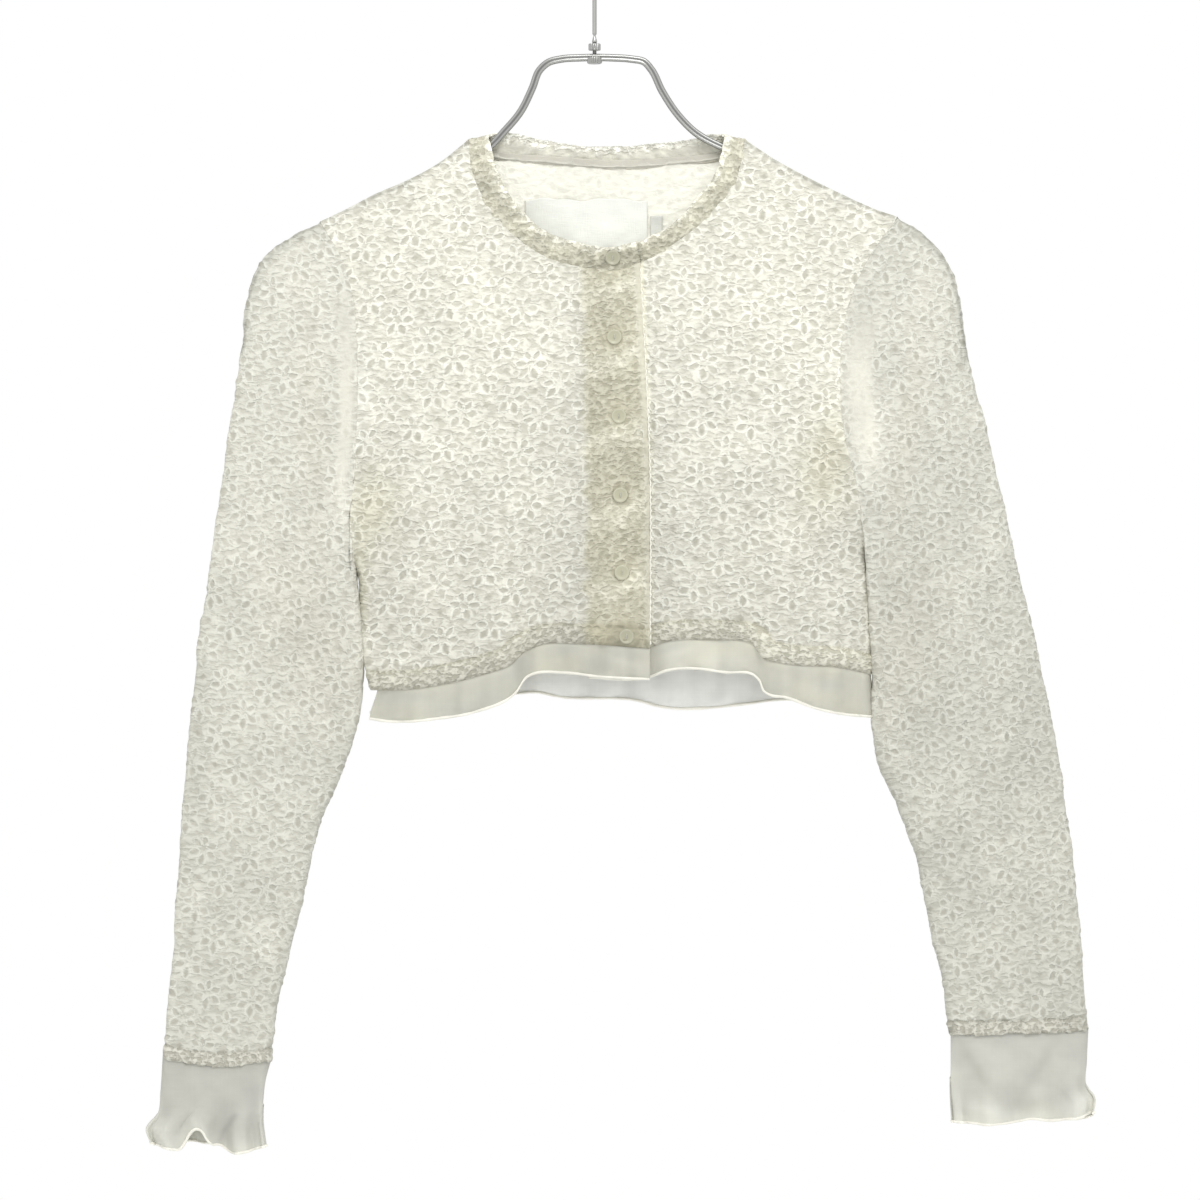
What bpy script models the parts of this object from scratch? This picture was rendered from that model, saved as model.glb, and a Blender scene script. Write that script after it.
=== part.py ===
"""A cropped cardigan of sheer flower cloque, buttoned up on a steel hanger.

Sizes are in millimetres and become metres where a mesh is made. +X is the viewer's right, the front
faces -Y and +Z is up. The origin is the inside of the hook's top, where a rail carries the hanger.
Names use the wearer's sides, so front_right lies at -X. The right front laps over the left one.
"""

import math
from typing import NamedTuple

import bmesh
import bpy
import numpy as np


class Point(NamedTuple):
    """A point of an outline seen from the front."""

    x: float
    z: float


class Section(NamedTuple):
    """A cut across a sleeve from its overarm fold to its underarm seam, with half the tube's depth."""

    over_x: float
    over_z: float
    under_x: float
    under_z: float
    depth: float


class Fold(NamedTuple):
    """A soft ridge along a straight line, or a hollow where its height is negative."""

    from_x: float
    from_z: float
    to_x: float
    to_z: float
    width: float
    height: float


class Rim(NamedTuple):
    """A place on a cuff's lower edge: its share of the way across, and how far it hangs below the row."""

    share: float
    front: float
    back: float


MM = 0.001

# Walls of cloth, and the gap at every seam
CLOTH = 1.6
TURNED = 2.4
BAND = 2.4
SHEER = 1.0
WOVEN = 1.0
SEAM = 0.3
TIP_SEAM = 0.5  # the sleeve's gap where its fold meets the shoulder's

# Sizes of the garment
FRONT_DEPTH = Point(13.0, 19.0)  # how far the front stands off, near the shoulder and at the hem
BACK_DEPTH = Point(12.0, 16.0)
DEPTH_FROM_Z, DEPTH_TO_Z = -200.0, -500.0
SHOULDER_ROUND, SHOULDER_REACH = 4.6, 90.0
SIDE_ROUND, SIDE_REACH = 7.0, 30.0
LAP_DEPTH_TOP, LAP_DEPTH_HEM = 3.3, 5.0  # how far the left front lies behind the right one
LAP_FULL_TO_X, LAP_GONE_X = 39.0, 64.0
FRILL_INSET = 2.8
FRILL_STEPS, FRILL_ROWS = 2, 3
TAPE_HALF, TAPE_SKIPS = 3.2, 3
BUTTON_RADIUS, BUTTON_SIDES = 5.0, 14
BUTTON_PROFILE = [(3.6, 0), (5.0, 0.7), (4.7, 1.7), (4.0, 2.0), (3.2, 1.5)]
NECK_LEAN = 0.9

SHOULDER_RIGHT = [
    Point(-83, -137), Point(-109, -152), Point(-142, -170), Point(-165, -184), Point(-181, -197),
]
SHOULDER_LEFT = [
    Point(99, -137), Point(136, -153), Point(169, -171), Point(188, -181), Point(200, -190),
]
ARMHOLE_RIGHT = [
    Point(-159, -414), Point(-161, -397), Point(-159, -361), Point(-156, -321),
    Point(-156, -275), Point(-159, -242), Point(-167, -219), Point(-181, -197),
]
ARMHOLE_LEFT = [
    Point(179, -406), Point(177, -387), Point(172, -362), Point(165, -335),
    Point(162, -295), Point(165, -255), Point(181, -216), Point(200, -190),
]
SIDE_RIGHT = [
    Point(-141, -500), Point(-150, -475), Point(-154, -447), Point(-155.5, -424), Point(-159, -414),
]
SIDE_LEFT = [
    Point(180.5, -489), Point(181, -473), Point(178.5, -440), Point(176, -416), Point(179, -406),
]
FLARE_RIGHT, FLARE_LEFT = -8.5, 3.0  # how far the frill's ends swing out below the hem

NECK_RIGHT = [
    Point(30, -218), Point(12, -223), Point(-1, -222), Point(-21, -218), Point(-41, -209),
    Point(-58, -195), Point(-70, -180), Point(-80, -160), Point(-83, -137),
]
NECK_LEFT = [
    Point(-6, -222), Point(16, -223.5), Point(30, -218), Point(46, -209), Point(64, -197),
    Point(80, -181), Point(93, -163), Point(99, -137),
]
NECK_BACK = [
    Point(-83, -137), Point(-80, -142), Point(-68, -145.5), Point(-33, -149), Point(16, -152),
    Point(52, -150), Point(84, -146), Point(96, -142), Point(99, -137),
]
FREE_RIGHT = [
    Point(28, -204), Point(10, -208), Point(-9, -205), Point(-31, -198), Point(-49, -182),
    Point(-63, -160), Point(-70, -134),
]
FREE_LEFT = [
    Point(-8, -207), Point(10, -208.5), Point(21, -208), Point(35, -201), Point(52, -192),
    Point(67, -176), Point(79, -160), Point(86, -134),
]
FREE_BACK = [
    Point(-70, -134), Point(-62, -131), Point(-53, -131.5), Point(-33, -136), Point(-14, -139),
    Point(11, -140), Point(40, -138), Point(66, -135), Point(78, -132), Point(86, -134),
]
EDGE_RIGHT = [Point(36.5, -472), Point(36.5, -361), Point(30, -218)]
EDGE_LEFT = [Point(-4.3, -470), Point(-2.3, -354), Point(-6, -222)]
HEM_RIGHT = [
    Point(36.5, -472), Point(-10, -469), Point(-35, -469.5), Point(-47, -475), Point(-54, -482),
    Point(-70, -488), Point(-92, -494), Point(-124, -499), Point(-141, -500),
]
HEM_LEFT = [
    Point(-4.3, -470), Point(36, -471), Point(52, -467), Point(99, -466), Point(109, -475),
    Point(117, -480), Point(135, -483), Point(158, -484), Point(180.5, -489),
]
HEM_BACK = [
    Point(-141, -500), Point(-100, -493), Point(-40, -488), Point(40, -490), Point(110, -491),
    Point(180.5, -489),
]
FRILL_RIGHT = [
    Point(35, -492), Point(0, -490), Point(-16, -488), Point(-45, -491), Point(-52, -501),
    Point(-77, -513), Point(-105, -518), Point(-132, -520), Point(-147, -518),
]
FRILL_LEFT = [
    Point(-3, -491), Point(38, -490), Point(47, -486), Point(76, -485), Point(106, -490),
    Point(112, -500), Point(135, -508), Point(146, -513), Point(164, -516), Point(181, -517),
]
FRILL_BACK = [
    Point(-147, -515), Point(-100, -508), Point(-52, -502), Point(-39, -501), Point(-23, -504),
    Point(30, -507), Point(41, -510), Point(99, -509), Point(122, -506), Point(181, -512),
]

FRONT_FOLDS = [
    Fold(-152, -232, -149, -350, 7, 2.5),
    Fold(-150, -372, -112, -408, 15, -4.5),
    Fold(136, -319, 166, -382, 14, -4.5),
    Fold(155, -260, 158, -320, 8, -2.5),
    Fold(-120, -190, -62, -300, 22, 2.5),
    Fold(132, -190, 74, -300, 22, 2.5),
    Fold(-62, -505, -70, -400, 13, 3.5),
    Fold(-100, -505, -104, -430, 13, -2.5),
    Fold(120, -505, 128, -400, 13, 3.5),
    Fold(148, -505, 150, -430, 11, -2.5),
]
BACK_FOLDS = [
    Fold(-118, -200, -48, -320, 24, 3.0),
    Fold(134, -200, 62, -330, 24, 3.0),
    Fold(-90, -505, -84, -390, 15, 3.5),
    Fold(-30, -505, -34, -410, 14, -3.0),
    Fold(45, -505, 40, -400, 15, 3.0),
    Fold(118, -505, 110, -395, 15, 3.5),
    Fold(-148, -380, -108, -420, 14, -3.5),
    Fold(168, -370, 128, -415, 14, -3.5),
]
HEM_STEPS = Point(-48.0, 109.0)  # the fronts hang nearer and lower outside these two upright folds
STEP_NEAR, STEP_FAR, STEP_WIDTH = 5.0, -3.0, 6.0
STEP_FROM_Z, STEP_FADE = -470.0, 85.0
FRILL_RIPPLE, RIPPLE_LENGTH = 1.1, 27.0
FLARE_REACH = 9.0

SLEEVE_RIGHT = [
    Section(-181, -197, -159, -414, 12), Section(-204, -204, -161.5, -447, 12),
    Section(-221, -217, -158.5, -477, 12), Section(-229, -239, -154, -504, 12.5),
    Section(-234, -275, -158, -529, 13), Section(-244, -335, -169, -560, 13.5),
    Section(-253, -401, -182, -592, 13.5), Section(-262, -467, -190, -628, 13),
    Section(-270, -536, -197, -659, 12.5), Section(-276, -612, -204, -688, 12),
    Section(-280, -678, -209, -711, 11), Section(-285, -740, -213, -742, 10),
]
SLEEVE_LEFT = [
    Section(200, -190, 179, -406, 12), Section(219, -203, 184, -440, 12),
    Section(233, -217, 187, -473, 12), Section(240, -240, 186, -510, 12.5),
    Section(248, -279, 186.5, -543, 13), Section(261, -335, 197, -574, 13.5),
    Section(274, -394, 206, -599, 13.5), Section(289, -457, 214, -628, 13),
    Section(303, -523, 221, -665, 12.5), Section(314, -599, 228, -692, 12),
    Section(321, -661, 232, -712, 11), Section(326, -722, 235, -725, 10),
]
SLEEVE_FOLDS_RIGHT = [
    Fold(-166, -250, -164, -360, 7, 3.0), Fold(-205, -235, -214, -420, 12, -2.5),
    Fold(-240, -440, -205, -500, 14, -2.5), Fold(-188, -560, -232, -590, 12, 2.0),
    Fold(-262, -600, -212, -650, 12, -2.0),
]
SLEEVE_FOLDS_LEFT = [
    Fold(170, -300, 194, -372, 9, 4.5), Fold(212, -240, 222, -420, 13, -2.5),
    Fold(268, -440, 226, -520, 14, -2.5), Fold(215, -575, 262, -600, 12, 2.0),
    Fold(308, -610, 240, -668, 12, -2.0),
]
SLEEVE_JOINS, SLEEVE_SAGS = 0.2, 0.8  # shares of a sleeve: the armhole's shape ends, the seam's sag starts
CUFF_DEPTH, CUFF_WAVES, CUFF_WAVE, CUFF_WAVES_FROM = 8.5, 9, 2.6, 0.35
CUFF_TURNS, CUFF_ROWS = 36, 6
SEAM_DROP_RIGHT, SEAM_DROP_LEFT = 4.5, 0.5  # how far the cuff's seam hangs lower between its ends
CUFF_OUTER_RIGHT = [
    Point(-285, -741), Point(-286.5, -764), Point(-288, -778), Point(-296, -790), Point(-293, -798),
]
CUFF_INNER_RIGHT = [
    Point(-213, -743), Point(-217, -757), Point(-218.5, -770), Point(-219, -782), Point(-217, -800),
]
CUFF_OUTER_LEFT = [
    Point(326, -723), Point(325, -744), Point(325, -762), Point(330, -770), Point(329, -780),
]
CUFF_INNER_LEFT = [
    Point(235, -726), Point(235, -744), Point(235, -766), Point(235.5, -776), Point(236, -784),
]
CUFF_RIM_RIGHT = [
    Rim(0, 0, 0), Rim(0.12, 1.5, 0), Rim(0.32, 3.5, -2), Rim(0.5, -2, 1), Rim(0.64, -7, 0), Rim(0.75, 1, 0),
    Rim(0.86, 1, -3), Rim(0.93, 5, -1), Rim(1, 0, 0),
]
CUFF_RIM_LEFT = [
    Rim(0, 0, 0), Rim(0.15, 0, 3), Rim(0.3, -2, 1), Rim(0.45, 1, -2), Rim(0.62, 3, 0), Rim(0.8, 1.5, -3),
    Rim(0.92, -1, -1), Rim(1, 0, 0),
]

BUTTON_PLACES = [
    Point(12, -215), Point(13, -267), Point(16, -319), Point(17, -371), Point(18, -422), Point(21, -464),
]
LABEL_CORNERS = Point(-46, -217), Point(35, -175)
TAB_CORNERS = Point(37, -199), Point(45, -186)

# Hanger: a bar with a groove along it, hung from a wire hook
BAR_WIDE, BAR_DEEP, BAR_GROOVE = 2.5, 2.2, 0.6
BAR_UNDER_SHOULDER, BAR_UNDER_SLEEVE = 3.7, 5.2
BAR_STEPS, BAR_SIDES = 48, 10
BAR_ENDS_Z, BAR_LINE_BELOW = -234.0, 30.0
BAR_OVER_RIGHT = [
    Point(-95, -149.5), Point(-83, -145.5), Point(-70, -141), Point(-59, -130), Point(-49, -118),
    Point(-41, -102), Point(-36, -90), Point(-31, -85.5), Point(-22, -83), Point(-10, -82.2),
]
BAR_OVER_LEFT = [
    Point(12, -82.2), Point(24, -83), Point(33, -85.5), Point(38, -90), Point(43, -104), Point(54, -121),
    Point(66, -131), Point(84, -141), Point(99, -146.5), Point(111, -150),
]
HOOK_WIRE, HOOK_RADIUS = 1.45, 18.0
HOOK_STEM_FOOT, HOOK_STEM_TOP = -72.4, -44.0
HOOK_STEM = [Point(0, HOOK_STEM_TOP), Point(2.5, -38), Point(9.5, -31.5)]
HOOK_FROM_DEGREES, HOOK_TIP_DEGREES = -20.0, 205.0
HOOK_SIDES, HOOK_ARC_STEPS, HOOK_RISE_STEPS = 8, 18, 7
NUT_FOOT, NUT_PROFILE = -79.2, [(3.2, 0), (4.0, 0.8), (4.0, 5.6), (3.2, 6.4)]
CLIP_FOOT, CLIP_PROFILE = -88.6, [(3.0, 0), (4.9, 1.0), (4.9, 3.1), (4.4, 3.5)]
TURNED_SIDES = 16

# Colour and roughness of each material
BODY_CLOTH = ((0.85, 0.84, 0.76), 0.8)
SLEEVE_CLOTH = ((0.80, 0.79, 0.74), 0.8)
BAND_CLOTH = ((0.72, 0.70, 0.58), 0.8)
TAPE_CLOTH = ((0.80, 0.78, 0.66), 0.6)
LABEL_CLOTH = ((0.90, 0.90, 0.88), 0.5)
SHEER_CLOTH = ((0.75, 0.75, 0.70), 0.6)
BUTTON_RESIN = ((0.85, 0.84, 0.72), 0.25)
STEEL = ((0.55, 0.57, 0.57), 0.25)

# Shares of the way along each stretch, closer together where the cloth rounds a fold
ARM_ROWS = np.array([0, 0.008, 0.03, 0.09, 0.2, 0.35, 0.5, 0.65, 0.8, 0.91, 0.97, 0.992, 1])
SIDE_ROWS = np.array([0, 0.075, 0.15, 0.36, 0.58, 0.8, 1])
SHOULDER_ROWS = np.array([0, 0.25, 0.5, 0.75, 1])
FRONT_COLUMNS = np.array([
    0, 0.09, 0.18, 0.27, 0.36, 0.43, 0.5, 0.57, 0.65, 0.73, 0.81, 0.88, 0.94, 0.975, 0.992, 1,
])
BACK_COLUMNS = np.array([
    0, 0.004, 0.013, 0.03, 0.06, 0.11, 0.17, 0.24, 0.31, 0.38, 0.44,
    0.5, 0.56, 0.62, 0.69, 0.76, 0.83, 0.89, 0.94, 0.97, 0.987, 0.996, 1,
])
TURNED_COLUMNS = 4  # columns of a front that its turned edge covers
HEM_ROWS = 2  # rows of a panel between the hem's edge and its stitching
UNDERARM_ROW = len(SIDE_ROWS) - 1
TIP_ROW = UNDERARM_ROW + len(ARM_ROWS) - 1
TIP_ROWS = 4  # rows below a shoulder's tip that its fold rounds
SLEEVE_STEPS = np.array([0, 0.025, 0.055, 0.09, 0.14, 0.2, 0.3, 0.42, 0.54, 0.66, 0.78, 0.9, 1])


def clear_scene():
    """Removes every object."""
    for item in list(bpy.data.objects):
        bpy.data.objects.remove(item)


def smooth_line(points, shares):
    """Places at these shares of the length of a smooth line through the points."""
    points = np.asarray(points, float)
    knots = np.r_[0, np.cumsum(np.linalg.norm(np.diff(points, axis=0), axis=1))]
    slopes = np.gradient(points, knots, axis=0)
    at = np.clip(np.asarray(shares, float), 0, 1) * knots[-1]
    piece = np.clip(np.searchsorted(knots, at, side="right") - 1, 0, len(points) - 2)
    span = (knots[piece + 1] - knots[piece])[:, None]
    s = (at - knots[piece])[:, None] / span
    start, end = points[piece], points[piece + 1]
    bend = s * (1 - s)
    return (
        start * (1 + 2 * s) * (1 - s) ** 2
        + end * (3 - 2 * s) * s**2
        + span * bend * (slopes[piece] * (1 - s) - slopes[piece + 1] * s)
    )


def height_at(line, x):
    """The z of an outline, given from side to side, at each x."""
    table = smooth_line(line, np.linspace(0, 1, 200))
    order = np.argsort(table[:, 0])
    return np.interp(x, table[order, 0], table[order, 1])


def distance_to(line, x, z):
    """The distance from each place to the nearest point of a line of straight stretches."""
    line = np.asarray(line, float)
    nearest = np.full(np.shape(x), np.inf)
    for (x0, z0), (x1, z1) in zip(line[:-1], line[1:]):
        run, rise = x1 - x0, z1 - z0
        share = np.clip(((x - x0) * run + (z - z0) * rise) / (run * run + rise * rise), 0, 1)
        nearest = np.minimum(nearest, np.hypot(x - x0 - share * run, z - z0 - share * rise))
    return nearest


def along(start, end, share):
    """The value at this share of the way from one value to another."""
    return start + (end - start) * share


def soft_step(value):
    """A step from 0 to 1 with soft ends."""
    value = np.clip(value, 0, 1)
    return value * value * (3 - 2 * value)


def folds_at(folds, x, z):
    """How far a list of folds moves the cloth out at each place."""
    total = np.zeros(np.shape(x))
    for fold in folds:
        line = [(fold.from_x, fold.from_z), (fold.to_x, fold.to_z)]
        total += fold.height * np.exp(-((distance_to(line, x, z) / fold.width) ** 2))
    return total


def off_fold(distance, radius, full, reach):
    """The cloth's distance from the middle plane: round a fold first, then slowly out to its full depth."""
    rounded = radius * np.sqrt(1 - np.clip(1 - distance / radius, 0, 1) ** 2)
    slack = 1 - np.exp(-np.clip(distance - radius, 0, None) / reach)
    return rounded + (full - radius) * slack


def lesser(a, b):
    """The smaller of two depths, with a rounded change from one to the other."""
    return a * b / np.maximum(a**4 + b**4, 1e-9) ** 0.25


SHOULDERS = [SHOULDER_RIGHT, SHOULDER_LEFT]
SIDES = [SIDE_RIGHT, SIDE_LEFT]


def body_depth(x, z, full, inset):
    """How far the body's cloth stands from the middle plane, or a layer this much further in."""
    from_shoulder = np.minimum(*(distance_to(line, x, z) for line in SHOULDERS)) - inset
    from_side = np.minimum(*(distance_to(line, x, z) for line in SIDES)) - inset
    return lesser(
        off_fold(np.maximum(from_shoulder, 0), SHOULDER_ROUND, full - inset, SHOULDER_REACH),
        off_fold(np.maximum(from_side, 0), SIDE_ROUND - inset, full - inset, SIDE_REACH),
    )


def down_share(z):
    """How far down the body a height lies, from 0 near the shoulders to 1 at the hem."""
    return np.clip((DEPTH_FROM_Z - z) / (DEPTH_FROM_Z - DEPTH_TO_Z), 0, 1)


def front_y(x, z, inset=0.0):
    """The right front's middle surface, or a layer behind it."""
    outside = 1 - 0.5 * (np.tanh((x - HEM_STEPS.x) / STEP_WIDTH) - np.tanh((x - HEM_STEPS.z) / STEP_WIDTH))
    fade = np.exp(-np.clip(z - STEP_FROM_Z, 0, None) / STEP_FADE)
    step = (STEP_FAR + (STEP_NEAR - STEP_FAR) * outside) * fade
    full = along(FRONT_DEPTH.x, FRONT_DEPTH.z, down_share(z)) + step + folds_at(FRONT_FOLDS, x, z)
    return -SEAM / 2 - body_depth(x, z, full, inset)


def lapped_y(x, z, inset=0.0):
    """The left front's middle surface: it runs behind the right front where they lap."""
    lap = along(LAP_DEPTH_TOP, LAP_DEPTH_HEM, down_share(z))
    return front_y(x, z, inset) + lap * (1 - soft_step((x - LAP_FULL_TO_X) / (LAP_GONE_X - LAP_FULL_TO_X)))


def back_y(x, z, inset=0.0):
    """The back's middle surface."""
    full = along(BACK_DEPTH.x, BACK_DEPTH.z, down_share(z)) + folds_at(BACK_FOLDS, x, z)
    return SEAM / 2 + body_depth(x, z, full, inset)


def between_edges(bottom, top, left, right, u, v):
    """A grid of (x, z) places, rows up and columns across, filled in from its four edges."""
    u, v = u[None, :, None], v[:, None, None]
    corners = along(along(bottom[0], bottom[-1], u), along(top[0], top[-1], u), v)
    return along(bottom[None], top[None], v) + along(left[:, None], right[:, None], u) - corners


def joined(*lines):
    """Lines of points end to end, each shared end once."""
    return np.concatenate([lines[0]] + [line[1:] for line in lines[1:]])


def unit(vectors):
    """The same directions with a length of one."""
    return vectors / np.maximum(np.linalg.norm(vectors, axis=-1, keepdims=True), 1e-9)


def skin_normals(points, towards, closed=False):
    """The directions out of a grid, on the side that the vector or the points' own middle gives."""
    if closed:
        across = np.roll(points, -1, axis=1) - np.roll(points, 1, axis=1)
    else:
        across = np.gradient(points, axis=1)
    normals = unit(np.cross(across, np.gradient(points, axis=0)))
    if towards is None:
        outward = points - points.mean(axis=1, keepdims=True)
    else:
        outward = np.asarray(towards, float)
    return normals if (normals * outward).sum() > 0 else -normals


def level_normals(line, towards):
    """Directions in the middle plane, square to a seam that runs along a fold."""
    run = np.gradient(line, axis=0)
    square = unit(np.stack([-run[:, 2], np.zeros(len(line)), run[:, 0]], axis=-1))
    return np.where(((square * towards).sum(axis=-1) > 0)[:, None], square, -square)


class Cloth(NamedTuple):
    """The middle surface of a piece of cloth as a grid, rows up, with the directions out of it."""

    points: np.ndarray
    normals: np.ndarray


DOWN, UP, RIGHTWARD = np.array([0, 0, -1.0]), np.array([0, 0, 1.0]), np.array([1.0, 0, 0])


def outer_edge(side, armhole, shoulder):
    """A panel's edge from the hem up the side seam, round the armhole and in along the shoulder."""
    return joined(
        smooth_line(side, SIDE_ROWS),
        smooth_line(armhole, ARM_ROWS),
        smooth_line(shoulder[::-1], SHOULDER_ROWS),
    )


def length_shares(line):
    """How far along a line each of its points lies, as a share of its length."""
    steps = np.r_[0, np.linalg.norm(np.diff(line, axis=0), axis=1).cumsum()]
    return steps / steps[-1]


def set_seam_normals(cloth, column, sideways):
    """Sets the directions along the folds at one side of a panel, so that both sides of a seam agree."""
    edge = cloth.points[:, column]
    cloth.normals[:UNDERARM_ROW, column] = level_normals(edge[: UNDERARM_ROW + 1], sideways)[:-1]
    cloth.normals[UNDERARM_ROW, column] = DOWN
    cloth.normals[TIP_ROW:, column] = level_normals(edge[TIP_ROW:], UP)


def panel(bottom, top, left, right, columns, depth, towards):
    """A panel of the body, its rows from the hem up to the neck."""
    v = length_shares(right)
    flat = between_edges(smooth_line(bottom, columns), smooth_line(top, columns), left(v), right, columns, v)
    x, z = flat[..., 0], flat[..., 1]
    points = np.stack([x, depth(x, z), z], axis=-1)
    return Cloth(points, skin_normals(points, towards))


def front_panel(hem, edge, neck, shoulder, side, armhole, depth, sideways):
    """A front, its columns from its own edge to the side seam."""
    outer = outer_edge(side, armhole, shoulder)
    cloth = panel(hem, neck, lambda v: smooth_line(edge, v), outer, FRONT_COLUMNS, depth, (0, -1, 0))
    set_seam_normals(cloth, -1, sideways)
    return cloth


def back_panel():
    """The back, its columns from the wearer's right side to the left."""
    right = outer_edge(SIDE_RIGHT, ARMHOLE_RIGHT, SHOULDER_RIGHT)
    left = outer_edge(SIDE_LEFT, ARMHOLE_LEFT, SHOULDER_LEFT)
    cloth = panel(HEM_BACK, NECK_BACK, lambda v: right, left, BACK_COLUMNS, back_y, (0, 1, 0))
    set_seam_normals(cloth, 0, -RIGHTWARD)
    set_seam_normals(cloth, -1, RIGHTWARD)
    return cloth


def armhole_ring(front, back, back_column, run):
    """The sleeve's first ring, a seam's gap outside both panels: down the front, up the back."""
    rows = slice(UNDERARM_ROW, TIP_ROW + 1)
    steps = []
    gap = np.full((TIP_ROW + 1 - UNDERARM_ROW, 1), SEAM)
    gap[-TIP_ROWS:] = TIP_SEAM
    back_inner = 1 if back_column == 0 else -2
    for cloth, column, inner in ((front, -1, -2), (back, back_column, back_inner)):
        edge, normals = cloth.points[rows, column], cloth.normals[rows, column]
        out = np.cross(normals, np.gradient(edge, axis=0))
        out *= np.sign((out * (edge - cloth.points[rows, inner])).sum(axis=-1, keepdims=True))
        out[0] = [run[0], 0, 0]
        out[-1] = run
        steps.append((edge + gap * unit(out), normals))
    (front_edge, front_normals), (back_edge, back_normals) = steps
    ring = np.concatenate([front_edge[::-1], back_edge[1:-1]])
    normals = np.concatenate([front_normals[::-1], back_normals[1:-1]])
    for end in (0, len(front_edge) - 1):
        ring[end, 1] = 0
    return ring, normals


def sleeve_cloth(sections, folds, ring, ring_normals, drop):
    """A flattened tube carried along its sections, from the armhole seam to the cuff's seam."""
    rows = np.asarray(sections, float)
    at = smooth_line(rows, SLEEVE_STEPS)
    shares = 1 - ARM_ROWS[::-1]
    half = []
    for step, (over_x, over_z, under_x, under_z, depth) in zip(SLEEVE_STEPS, at):
        x = along(over_x, under_x, shares)
        sag = sagging(drop, shares) * soft_step((step - SLEEVE_SAGS) / (1 - SLEEVE_SAGS))
        z = along(over_z, under_z, shares) - sag
        width = math.hypot(under_x - over_x, under_z - over_z)
        full = depth + folds_at(folds, x, z)
        off = lesser(
            off_fold(width * shares, SHOULDER_ROUND, full, SIDE_REACH),
            off_fold(width * (1 - shares), SHOULDER_ROUND, full, SIDE_REACH),
        )
        half.append(np.stack([x, off, z], axis=-1))
    half = np.array(half)
    front = half * (1, -1, 1)
    points = np.concatenate([front, half[:, -2:0:-1]], axis=1)
    fade = 1 - soft_step(SLEEVE_STEPS / SLEEVE_JOINS)
    points = points + fade[:, None, None] * (ring - points[0])
    normals = skin_normals(points, None, closed=True)
    normals[0] = ring_normals
    return Cloth(points, normals)


def sagging(drop, share):
    """How much lower a line hangs between its two ends."""
    return 4 * drop * share * (1 - share)


def sleeve_end(sleeve, share_across, on_front):
    """Places on a sleeve's last ring, at these shares of the way across its front or back."""
    ring = sleeve.points[-1]
    shares = 1 - ARM_ROWS[::-1]
    count = len(shares)
    front = ring[:count]
    back = np.concatenate([ring[count - 1 :], ring[:1]])[::-1]
    on_halves = [
        np.stack([np.interp(share_across, shares, values) for values in half.T], axis=-1)
        for half in (front, back)
    ]
    return np.where(on_front[:, None], *on_halves)


def cuff_cloth(sleeve, outer, inner, rim, phase):
    """A sheer tube below a sleeve, rippled towards its rolled lower edge."""
    turn = np.linspace(0, 2 * math.pi, CUFF_TURNS, endpoint=False)
    share_across = 0.5 - 0.5 * np.cos(turn)
    side = np.where(np.sin(turn) >= 0, 1, -1)
    seam = sleeve_end(sleeve, share_across, side > 0) - (0, 0, SEAM)
    rim = np.array(rim)
    hang = np.where(
        side > 0,
        np.interp(share_across, rim[:, 0], rim[:, 1]),
        np.interp(share_across, rim[:, 0], rim[:, 2]),
    )
    rows = []
    for down in np.linspace(1, 0, CUFF_ROWS + 1):
        ends = np.stack([smooth_line(outer, [down])[0], smooth_line(inner, [down])[0]])
        x = along(ends[0, 0], ends[1, 0], share_across)
        z = along(ends[0, 1], ends[1, 1], share_across)
        rippled = soft_step((down - CUFF_WAVES_FROM) / (1 - CUFF_WAVES_FROM))
        wave = CUFF_WAVE * rippled * np.sin(CUFF_WAVES * turn + phase)
        z = z - hang * rippled
        y = -CUFF_DEPTH * np.sin(turn) - wave * side
        rows.append(np.stack([x, y, z], axis=-1))
    points = np.array(rows)
    fade = 1 - soft_step(np.linspace(1, 0, CUFF_ROWS + 1) / CUFF_WAVES_FROM)
    points = points + fade[:, None, None] * (seam - points[-1])
    normals = skin_normals(points, None, closed=True)
    normals[-1] = unit(normals[-1] * (1, 1, 0))
    return Cloth(points, normals)


def neck_seam(right, left, back):
    """The seam line round the whole neck, from the under end round the back to the over end."""
    seam = joined(left.points[-1], back.points[-1, ::-1], right.points[-1, ::-1])
    normals = joined(left.normals[-1], back.normals[-1, ::-1], right.normals[-1, ::-1])
    for shoulder in (len(FRONT_COLUMNS) - 1, len(seam) - len(FRONT_COLUMNS)):
        seam[shoulder, 1] = 0
    return seam, normals


def band_cloth(right, left, back):
    """The neckband: one row on the seam and one along its free edge, with a row between them."""
    seam, normals = neck_seam(right, left, back)
    free = joined(
        smooth_line(FREE_LEFT, FRONT_COLUMNS),
        smooth_line(FREE_BACK[::-1], BACK_COLUMNS),
        smooth_line(FREE_RIGHT[::-1], 1 - FRONT_COLUMNS[::-1]),
    )
    top = np.stack([free[:, 0], NECK_LEAN * seam[:, 1], free[:, 1]], axis=-1)
    run = unit(np.gradient(seam, axis=0))
    rise = unit(top - seam)
    rise = unit(rise - run * (rise * run).sum(axis=-1, keepdims=True))
    foot = seam + SEAM * rise
    points = np.stack([foot + (top - foot) * share for share in (0, 0.5, 1)])
    own = skin_normals(points, None)
    own *= np.sign((own[0] * normals).sum(axis=-1))[None, :, None]
    own[0] = normals
    return Cloth(points, own)


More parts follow.
